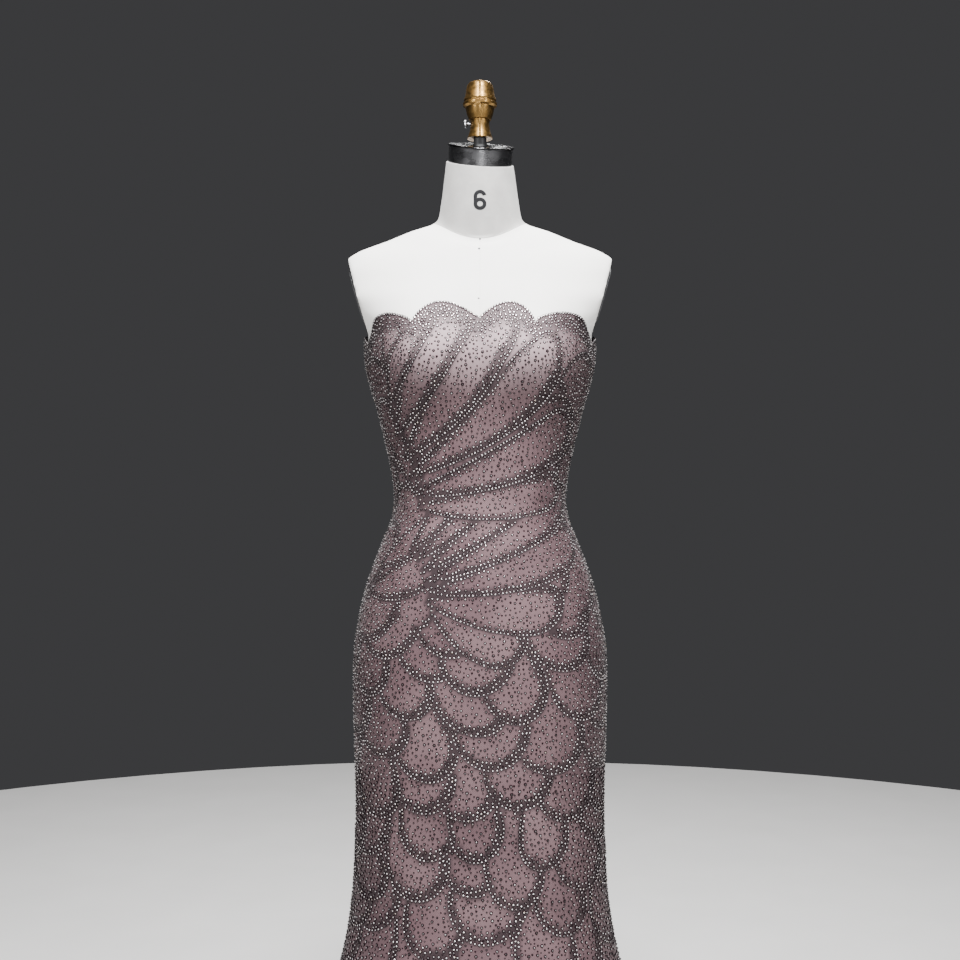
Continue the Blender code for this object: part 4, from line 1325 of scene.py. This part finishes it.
class GOWN_OT_beads(bpy.types.Operator):
    """Sews the beads on: a row along each petal's rim, bands inside it, and seed beads between"""

    bl_idname = "gown.beads"
    bl_label = "Beads"

    def execute(self, context):
        settings = context.scene.gown_settings
        plan = design()
        chance = np.random.default_rng(BEAD_SEED + 1)
        rim_angle, rim_row = self.rim_rows(plan, settings)
        fill_angle, fill_row, spacing = self.fill_places(plan, settings, chance)
        rims = len(rim_angle)
        angle = np.concatenate((rim_angle, fill_angle))
        points, normals, _, z = plan.surface(angle, np.concatenate((rim_row, fill_row)))
        kept = thin_out(points, np.concatenate((np.full(rims, RIM_REACH), spacing)))
        kept = kept[~near_zip(points[kept])]
        points, normals, angle, z = points[kept], normals[kept], angle[kept], z[kept]
        swell = 1 - 0.06 * near_neckline(angle, z) + 0.12 * edge_crowding(angle, z, NECKLINE_ROW)
        sizes = settings.bead_radius * chance.uniform(0.86, 1.04, len(kept)) * swell
        spread = np.clip((np.concatenate((np.zeros(rims), spacing))[kept] - 0.005) / 0.003, 0.0, 1.0)
        # Painted highlights: how bright each bead's top is drawn, dimmer where the beads stand apart.
        glints = (0.12 + 0.88 * chance.beta(0.8, 0.6, len(kept))) * (1 - 0.5 * spread)
        material = bead_material("Rim beads", settings.bead_dark, settings.bead_painted_highlight, 0.16, 0.6)
        for name, mine in (("rim_beads", kept < rims), ("filling_beads", kept >= rims)):
            self.add_beads(name, points[mine], normals[mine], sizes[mine], glints[mine], material)
        self.add_seeds(plan, settings, points, chance)
        self.add_threads_and_shadows(plan)
        return {"FINISHED"}

    def rim_rows(self, plan, settings):
        """A row of beads just inside each rim that shows, and along the neckline and the hem."""
        share, z, owner = plan.rim_points(RIM_INSET, settings.bead_radius * 2.0)
        shown = plan.showing(share, z, owner)
        angle, row = plan.table.place(share[shown], z[shown])
        round_edge = np.radians(np.arange(-90, 270, 0.05))
        points, _ = cloth_outside(round_edge, self.neckline_row(round_edge))
        steps = np.linalg.norm(np.diff(points, axis=0), axis=1)
        lengths = np.concatenate(([0.0], np.cumsum(steps)))
        even = np.interp(np.arange(0.0, lengths[-1], NECKLINE_SPACING), lengths, round_edge)
        hem_share = np.arange(0.0, 1.0, HEM_SPACING / float(plan.table.girth(HEM_Z)))
        hem_angle, hem_row = plan.table.place(hem_share, np.full(len(hem_share), HEM_Z + HEM_ROW_HEIGHT))
        angles = np.concatenate((even, angle, hem_angle))
        return angles, np.concatenate((self.neckline_row(even), row, hem_row))

    def neckline_row(self, angle):
        """The rows just below the neckline."""
        return row_at(angle, neckline_z(angle) - 0.0002)

    def fill_places(self, plan, settings, chance):
        """Places to try inside the petals, the closest ones first, and how far apart beads are there."""
        angle, row = candidates(plan, FILL_TRIES, chance)
        z = height_at(angle, row)
        seen = plan.field(plan.table.share(angle, row), z)
        spacing = bead_spacing(seen, angle, z, chance, settings)
        clear = (seen.outside > 0.0024) & (seen.inside > 0.0022)
        # Fewer are tried where few will stay.
        clear &= chance.uniform(0, 1, len(z)) < (0.0035 / spacing) ** 2
        order = np.argsort(spacing + chance.uniform(0, 0.0012, len(spacing)), kind="stable")
        order = order[clear[order]]
        return angle[order], row[order], spacing[order]

    def add_beads(self, name, points, normals, sizes, glints, material):
        """Beads in cups on the upper gown, and plainer ones lower down."""
        chance = np.random.default_rng(BEAD_SEED + 2)
        for region, mine in gown_regions(points):
            shape = cup_shape(5) if "upper" in region else cone_shape(6, 1.0)
            mesh = bead_mesh(shape, points[mine], normals[mine], sizes[mine], glints[mine], chance)
            add_object(f"{name}_{region}", mesh, material, "gown_on_form")

    def add_seeds(self, plan, settings, beads, chance):
        """Small dark beads in what is left of each petal's middle."""
        material = bead_material("Seed beads", settings.bead_dark, settings.bead_painted_highlight, 0.4, 0.1)
        angle, row = candidates(plan, SEED_TRIES, chance)
        seen = plan.field(plan.table.share(angle, row), height_at(angle, row))
        clear = (seen.outside > 0.0025) & (seen.inside > 0.004)
        points, normals, _, z = plan.surface(angle[clear], row[clear])
        spread = settings.seed_spacing * (1 + 0.6 * np.clip((0.40 - z) / 0.30, 0.0, 1.0))
        reach = np.concatenate((np.full(len(beads), settings.bead_radius * 1.65), spread))
        kept = thin_out(np.concatenate((beads, points)), reach)
        kept = kept[kept >= len(beads)] - len(beads)
        kept = kept[~near_zip(points[kept])]
        points, normals = points[kept], normals[kept]
        sizes = settings.seed_radius * chance.uniform(0.8, 1.2, len(kept))
        # The seed beads' painted highlights are faint.
        glints = chance.uniform(0.0, 0.12, len(kept))
        for region, mine in gown_regions(points):
            shape = cone_shape(5, 0.8)
            mesh = bead_mesh(shape, points[mine], normals[mine], sizes[mine], glints[mine], chance)
            add_object(f"seed_beads_{region}", mesh, material, "gown_on_form")

    def add_threads_and_shadows(self, plan):
        """A fine dark thread sewn down along each rim that shows, which also stands in for the rim's shadow.
        """
        # Painted shadow: the dark thread also stands for the shadow along each rim.
        material = thread_material("Rim thread and shadow", (0.06, 0.035, 0.042, 1.0), (0.02, 0.012, 0.015, 1.0), 900.0)
        seen = plan.showing(*plan.rim_points(THREAD_PROBE, THREAD_STEP))
        share, z, owner = plan.rim_points(THREAD_INSET, THREAD_STEP)
        angle, row = plan.table.place(share, np.clip(z, HEM_Z, ABOVE_GOWN_Z))
        points, normals, _, _ = plan.surface(angle, row)
        seen &= ~near_zip(points)
        breaks = np.flatnonzero((np.diff(owner) != 0) | (np.diff(seen.astype(int)) != 0)) + 1
        runs = []
        for stretch in np.split(np.arange(len(seen)), breaks):
            if seen[stretch[0]] and len(stretch) > 2:
                runs.append((points[stretch], normals[stretch]))
        mesh = strip_mesh(runs, 0.0010, 0.0005)
        add_object("rim_threads", mesh, material, "gown_on_form")


class GOWN_OT_zip(bpy.types.Operator):
    """Gives the zip its teeth, its stitching and its metal"""

    bl_idname = "gown.zip"
    bl_label = "Zip"

    def execute(self, context):
        colours = (0.42, 0.33, 0.34, 1.0), (0.20, 0.15, 0.16, 1.0)
        metal = metal_material("Zip metal", *colours, 0.32, 0.9, 260.0, (1.0, 1.0, 8.0))
        tape = thread_material("Zip tape", (0.33, 0.22, 0.24, 1.0), (0.16, 0.10, 0.11, 1.0), 700.0)
        for node, material in (("zip_strip", tape), ("zip_slider", metal), ("zip_pull", metal)):
            set_finish(node, material)
        self.add_teeth(metal)
        self.add_stitches()
        return {"FINISHED"}

    def add_teeth(self, metal):
        """Teeth that lie a little to the left and right by turns, up to the slider."""
        heights = np.arange(ZIP_FOOT_Z + 0.003, ZIP_TOP_Z - 0.016, TOOTH_PITCH)
        angle = np.full(len(heights), math.pi / 2)
        points, normals = cloth_outside(angle, row_at(angle, heights))
        points[:, 0] = np.where(np.arange(len(points)) % 2, TOOTH_OFFSET, -TOOTH_OFFSET)
        tooth = bmesh.new()
        bmesh.ops.create_cube(tooth, size=1.0)
        bmesh.ops.scale(tooth, verts=tooth.verts, vec=(1.0, 0.52, 0.5))
        sizes = np.full(len(points), TOOTH_LENGTH)
        mesh = scatter_mesh(tooth, points, normals, sizes, np.zeros(len(points)))
        add_object("zip_teeth", mesh, metal, "gown_on_form", 30)

    def add_stitches(self):
        """A row of stitches on each side of the zip."""
        thread = thread_material("Sewing thread", (0.40, 0.29, 0.31, 1.0), (0.22, 0.15, 0.16, 1.0), 1600.0)
        heights = np.arange(ZIP_FOOT_Z - 0.004, ZIP_TOP_Z - 0.001, STITCH_PITCH)
        angle = math.pi / 2 + np.repeat((STITCH_TURN, -STITCH_TURN), len(heights))
        points, normals = cloth_outside(angle, row_at(angle, np.tile(heights, 2)))
        stitch = bmesh.new()
        bmesh.ops.create_icosphere(stitch, subdivisions=1, radius=1.0)
        bmesh.ops.scale(stitch, verts=stitch.verts, vec=(0.28, 1.0, 0.28))
        sizes = np.full(len(points), STITCH_HALF_LENGTH)
        mesh = scatter_mesh(stitch, points, normals, sizes, np.zeros(len(points)))
        add_object("zip_stitches", mesh, thread, "gown_on_form")


class GOWN_OT_form(bpy.types.Operator):
    """Makes the linen form with its seams, pins and size number"""

    bl_idname = "gown.form"
    bl_label = "Dress form"

    def execute(self, context):
        settings = context.scene.form_settings
        self.add_body(settings)
        self.add_seams()
        self.add_number(settings)
        self.add_pins()
        return {"FINISHED"}

    def add_body(self, settings):
        """The cover up to the neck, closed over its top, down the rod's bore and under the foot."""
        skin = np.concatenate((np.arange(FORM_FOOT, 24, 0.5), np.arange(24, NECK_ROW + 0.9, 0.2)))
        angles = np.radians(np.arange(-90, 270.01, 2.5))
        top_radii = (NECK_TOP_RADIUS, NECK_TOP_RADIUS - 0.0015, 0.030, COVER_HOLE)
        rows = len(skin) + len(top_radii) + 3
        mesh, column, row = grid_mesh(len(angles), rows)
        angle, at_row = angles[column], skin[np.minimum(row, len(skin) - 1)]
        around, plane = round_the_rod(angle), neck_plane()
        points = form_surface(angle, at_row)
        for step, radius in enumerate(top_radii):
            sink = -0.0006 if step == 0 else 0.0
            lid = np.array([plane @ Vector((*(way[:2] * radius), sink)) for way in around])
            points = np.where((row == len(skin) + step)[:, None], lid, points)
        for step, z in ((3, NECK_TOP[2] - 0.01), (2, BODY_RINGS[FORM_FOOT].z_side)):
            points = np.where((row == rows - step)[:, None], around * FORM_BORE + (0, 0, z), points)
        foot = body_surface(angle, np.full(len(angle), float(FORM_FOOT)))
        points = np.where((row == rows - 1)[:, None], foot, points)
        set_points(mesh, points)
        set_value(mesh, "neck", np.clip((at_row - neck_seam_row(angle)) / 0.2 + 0.5, 0.0, 1.0))
        length = np.arctan2(points[:, 0], -points[:, 1]) * 0.12
        set_uv(mesh, np.stack((length, points[:, 2]), axis=-1))
        bm = bmesh.new()
        bm.from_mesh(mesh)
        bmesh.ops.remove_doubles(bm, verts=bm.verts, dist=0.00005)
        bmesh.ops.recalc_face_normals(bm, faces=bm.faces)
        linen = linen_material(settings)
        body = add_object("form_cover", mesh_of(bm), linen, "gown_on_form", 40)
        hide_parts("form_body")

    def add_seams(self):
        """Seams down the front and back, over the shoulders, and round the foot of the neck."""
        colours = (0.62, 0.60, 0.58, 1.0), (0.76, 0.74, 0.71, 1.0)
        seam = mottled_material("Seam thread", 600.0, 1.0, *colours, 0.9)
        runs = []
        for degrees, low, high in FORM_SEAMS:
            row = np.linspace(low, high, 90)
            runs.append(form_outside(np.full(90, math.radians(degrees)), row))
        add_object("form_seams", strip_mesh(runs, 0.0013, 0.00016), seam, "gown_on_form")
        round_neck = np.radians(np.arange(-90, 270.1, 3))
        run = form_outside(round_neck, neck_seam_row(round_neck))
        groove = thread_material("Neck seam", (0.16, 0.15, 0.14, 1.0), (0.07, 0.065, 0.06, 1.0), 800.0)
        add_object("neck_seam", strip_mesh([run], 0.0011, 0.00026), groove, "gown_on_form")

    def add_number(self, settings):
        """The size number, printed on the front of the neck."""
        sweep = self.arc(12.0, 190.1, 4.0, SWEEP_HALF_HEIGHT, SWEEP_CENTRE)
        bowl = self.arc(190.0, 540.1, 5.0, BOWL_HALF_HEIGHT, BOWL_CENTRE)
        path = np.concatenate((sweep, bowl))
        mesh = strip_mesh([(path, np.broadcast_to((0.0, 0.0, 1.0), path.shape))], NUMBER_STROKE, 0.0)
        flat = point_array(mesh)
        x, z = flat[:, 0], NUMBER_Z + flat[:, 1]
        rows = np.full(len(x), 34.1)
        angle = np.full(len(x), -math.pi / 2)
        for _ in range(30):
            points = form_surface(angle, rows)
            rows = np.clip(rows + (z - points[:, 2]) / 0.055, 33, 35)
            angle = angle + (x - points[:, 0]) / 0.055
        points = form_surface(angle, rows)
        points[:, 1] -= 0.00035
        set_points(mesh, points)
        colours = settings.print_black, (0.05, 0.05, 0.05, 1.0)
        finish = {"bump": 0.2, "distance": 0.0001, "Specular_IOR_Level": 0.15}
        black = mottled_material("Printed black", 900.0, 3.0, *colours, 0.7, (0.66, 0.80), **finish)
        add_object("size_number", mesh, black, "gown_on_form")

    def arc(self, start, end, step, half_height, centre):
        """Flat points along a part of an upright oval, between two angles in degrees."""
        turn = np.radians(np.arange(start, end, step))
        x, y = NUMBER_HALF_WIDTH * np.cos(turn), centre + half_height * np.sin(turn)
        return np.stack((x, y, np.zeros_like(x)), axis=1)

    def add_pins(self):
        """Dark pin heads on the centre front."""
        colours = (0.05, 0.05, 0.055, 1.0), (0.12, 0.12, 0.12, 1.0)
        dark = metal_material("Pin heads", *colours, 0.35, 0.8, 900.0)
        x, z, sizes = (np.array(column) for column in zip(*PINS))
        angle = np.full(len(PINS), -math.pi / 2)
        points, normals = form_outside(angle, row_at(angle, z, NECK_ROW))
        points[:, 0] += x
        mesh = scatter_mesh(dome_shape(10, 0.7), points, normals, sizes, np.zeros(len(PINS)))
        add_object("pin_heads", mesh, dark, "gown_on_form")


class GOWN_OT_stand(bpy.types.Operator):
    """Makes the neck's band and lid, the finial, its screw, the rod and the base"""

    bl_idname = "gown.stand"
    bl_label = "Neck metal and stand"

    def execute(self, context):
        settings = context.scene.form_settings
        steel_deep = (0.10, 0.10, 0.105, 1.0)
        steel = metal_material("Polished steel", settings.steel, steel_deep, 0.22, 1.0, 60.0, (1, 1, 30))
        brass_deep = (0.13, 0.07, 0.02, 1.0)
        brass = metal_material("Cast brass", settings.brass, brass_deep, 0.3, 1.0, 240.0, bump=0.6)
        paint_deep = (0.10, 0.10, 0.10, 1.0)
        paint = metal_material("Satin paint", settings.painted, paint_deep, 0.4, 0.3, 90.0)
        self.add_neck_metal(steel)
        self.add_finial(brass)
        self.add_screw(steel)
        self.add_base(paint)
        self.add_rod(paint)
        for node in ("arm_plate_left", "arm_plate_right"):
            set_finish(node, paint)
        return {"FINISHED"}

    def add_neck_metal(self, steel):
        """The band round the neck's top, and the lid on it."""
        # Painted shade: the lid is the band's steel drawn much darker, so its top stays dark under the lamps.
        dark = metal_material("Steel lid, painted shade", (0.05, 0.05, 0.052, 1.0), (0.03, 0.03, 0.032, 1.0), 0.1, 1.0, 60.0)
        lid_foot = BAND_HEIGHT + 2 * FIT_GAP
        for name, node, metal, radius, foot, height in (
            ("steel_band", "neck_band", steel, BAND_RADIUS, FIT_GAP, BAND_HEIGHT),
            ("steel_lid", "neck_lid", dark, LID_RADIUS, lid_foot, LID_THICKNESS),
        ):
            outline = [(NECK_METAL_HOLE, foot), (radius, foot)]
            outline += [(radius, foot + height), (NECK_METAL_HOLE, foot + height)]
            bm = turned_shape(outline, 96)
            bmesh.ops.transform(bm, verts=bm.verts, matrix=neck_plane())
            piece = add_object(name, mesh_of(bm), metal, "gown_on_form", 35)
            add_bevel(piece, 0.0005)
            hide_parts(node)

    def add_finial(self, brass):
        """The cast finial, bored for the rod and for its screw."""
        bore, depth = ROD_RADIUS + FIT_GAP, ROD_TOP_Z + FIT_GAP - FINIAL_Z
        outline = list(FINIAL_TURNS) + [(0.0, FINIAL_TURNS[-1][1]), (0.0, depth), (bore, depth), (bore, 0.0)]
        bm = turned_shape(outline, 96)
        for vert in bm.verts:
            radius = math.hypot(vert.co.x, vert.co.y)
            if radius > bore + 0.002 and abs(vert.co.x) < 0.0003 and vert.co.y < 0:
                vert.co.y -= 0.0005  # the casting's parting line
        bmesh.ops.translate(bm, verts=bm.verts, vec=(0, 0, FINIAL_Z))
        finial = add_object("brass_finial", mesh_of(bm), brass, "gown_on_form", 40)
        hole = bmesh.new()
        middle = Matrix.Translation((SCREW_X, 0, FINIAL_Z + SCREW_HEIGHT))
        place = middle @ Matrix.Rotation(math.pi / 2, 4, "Y")
        size = {"radius1": SCREW_HOLE_RADIUS, "radius2": SCREW_HOLE_RADIUS, "depth": SCREW_HOLE_LENGTH}
        bmesh.ops.create_cone(hole, cap_ends=True, segments=24, matrix=place, **size)
        cut_away(finial, hole)
        finial.data.set_sharp_from_angle(angle=math.radians(40))
        add_bevel(finial, 0.0004)
        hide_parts("finial")

    def add_screw(self, steel):
        """The thumb screw, with a knurled head."""
        outline = [(0.0, SCREW_TURNS[0][1])] + list(SCREW_TURNS) + [(0.0, SCREW_TURNS[-1][1])]
        bm = turned_shape(outline, KNURLS)
        for vert in bm.verts:
            step = round(math.atan2(vert.co.y, vert.co.x) / math.tau * KNURLS)
            if math.hypot(vert.co.x, vert.co.y) > KNURL_RADIUS and step % 2:
                vert.co.x *= KNURL_SCALE
                vert.co.y *= KNURL_SCALE
        place = Matrix.Translation((0, 0, FINIAL_Z + SCREW_HEIGHT)) @ Matrix.Rotation(-math.pi / 2, 4, "Y")
        bmesh.ops.transform(bm, verts=bm.verts, matrix=place)
        screw = add_object("knurled_screw", mesh_of(bm), steel, "screw", 30)
        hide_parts("thumb_screw")

    def add_base(self, paint):
        """The round base, with a socket for the rod."""
        socket = ROD_RADIUS + FIT_GAP
        outline = [(0.0, 0.0)] + list(BASE_TURNS)
        outline += [(socket, BASE_TURNS[-1][1]), (socket, SOCKET_Z), (0.0, SOCKET_Z)]
        mesh = mesh_of(turned_shape(outline, 128))
        base = add_object("round_base", mesh, paint, "gown_on_form", 30)
        add_bevel(base, 0.0012)
        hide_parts("stand_base")

    def add_rod(self, paint):
        """The rod, with the collar that carries the form."""
        foot = SOCKET_Z + FIT_GAP
        collar_top = BODY_RINGS[FORM_FOOT].z_side - FIT_GAP
        collar_foot = collar_top - COLLAR_HEIGHT
        outline = (
            (0.0, foot),
            (ROD_RADIUS, foot),
            (ROD_RADIUS, collar_foot),
            (COLLAR_RADIUS, collar_foot),
            (COLLAR_RADIUS, collar_top),
            (ROD_RADIUS, collar_top),
            (ROD_RADIUS, ROD_TOP_Z),
            (0.0, ROD_TOP_Z),
        )
        mesh = mesh_of(turned_shape(outline, 64))
        rod = add_object("painted_rod", mesh, paint, "gown_on_form", 30)
        add_bevel(rod, 0.0006)
        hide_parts("rod")


class GOWN_OT_studio(bpy.types.Operator):
    """Sets the plain floor, the soft lights and the camera"""

    bl_idname = "gown.studio"
    bl_label = "Studio"

    def execute(self, context):
        self.add_floor(context.scene)
        self.add_lights(context.scene)
        self.add_camera(context.scene)
        return {"FINISHED"}

    def add_floor(self, scene):
        """A plain pale floor, well past the hem."""
        bm = bmesh.new()
        bmesh.ops.create_circle(bm, cap_ends=True, radius=3.2, segments=96)
        mesh = mesh_of(bm)
        floor = bpy.data.objects.new("studio_floor", mesh)
        scene.collection.objects.link(floor)
        pale, shader, wires = new_material("Pale floor")
        speck = wires.noise(wires.place(), 6.0, 6.0)
        set_shader(wires, shader, wires.mix(speck, (0.72, 0.71, 0.70, 1.0), (0.80, 0.79, 0.78, 1.0)), 0.6)
        mesh.materials.append(pale)

    def add_lights(self, scene):
        """Soft square lights, each aimed at a height on the rod's axis, and a dim grey surround."""
        for name, place, size, power, aim in (
            ("Key", (0.05, -1.15, 3.05), 0.5, 260.0, 1.05),
            ("Low front", (0.2, -2.8, 0.9), 0.6, 17.0, 0.8),
            ("Left", (-1.7, -1.9, 1.7), 0.5, 23.0, 1.0),
            ("Right", (1.7, -1.9, 1.7), 0.5, 23.0, 1.0),
            ("Back", (0.3, 1.4, 3.2), 0.8, 90.0, 0.9),
        ):
            light = bpy.data.lights.new(name, "AREA")
            light.shape = "SQUARE"
            light.size = size
            light.energy = power
            lamp = bpy.data.objects.new(name, light)
            lamp.location = place
            look = Vector((0, 0, aim)) - Vector(place)
            lamp.rotation_euler = look.to_track_quat("-Z", "Y").to_euler()
            scene.collection.objects.link(lamp)
        world = bpy.data.worlds.new("Studio")
        world.use_nodes = True
        background = world.node_tree.nodes["Background"]
        background.inputs["Color"].default_value = (0.20, 0.20, 0.21, 1.0)
        background.inputs["Strength"].default_value = 0.25
        scene.world = world

    def add_camera(self, scene):
        """A level camera at the height of the waist."""
        camera = bpy.data.cameras.new("Camera")
        camera.sensor_width = 36.0
        camera.lens = CAMERA_LENS
        camera.clip_start, camera.clip_end = 0.05, 50.0
        eye = bpy.data.objects.new("Camera", camera)
        eye.location = CAMERA_PLACE
        eye.rotation_euler = (math.pi / 2, 0.0, 0.0)
        scene.collection.objects.link(eye)
        scene.camera = eye


class GOWN_PT_panel(bpy.types.Panel):
    """Lists the gown's settings and the steps that make it"""

    bl_label = "Beaded gown"
    bl_idname = "GOWN_PT_panel"
    bl_space_type = "VIEW_3D"
    bl_region_type = "UI"
    bl_category = "Gown"

    def draw(self, context):
        for settings in (context.scene.gown_settings, context.scene.form_settings):
            for label in settings.__annotations__:
                self.layout.prop(settings, label)
        for step in STEPS:
            self.layout.operator(step.bl_idname)


STEPS = (GOWN_OT_form, GOWN_OT_cloth, GOWN_OT_beads, GOWN_OT_zip, GOWN_OT_stand, GOWN_OT_studio)
CLASSES = (GownSettings, FormSettings, *STEPS, GOWN_PT_panel)


def register():
    for one in CLASSES:
        bpy.utils.register_class(one)
    bpy.types.Scene.gown_settings = bpy.props.PointerProperty(type=GownSettings)
    bpy.types.Scene.form_settings = bpy.props.PointerProperty(type=FormSettings)


def unregister():
    del bpy.types.Scene.form_settings
    del bpy.types.Scene.gown_settings
    for one in reversed(CLASSES):
        bpy.utils.unregister_class(one)


def main():
    register()
    bpy.ops.gown.form()
    bpy.ops.gown.cloth()
    bpy.ops.gown.beads()
    bpy.ops.gown.zip()
    bpy.ops.gown.stand()
    bpy.ops.gown.studio()


if __name__ == "__main__":
    main()
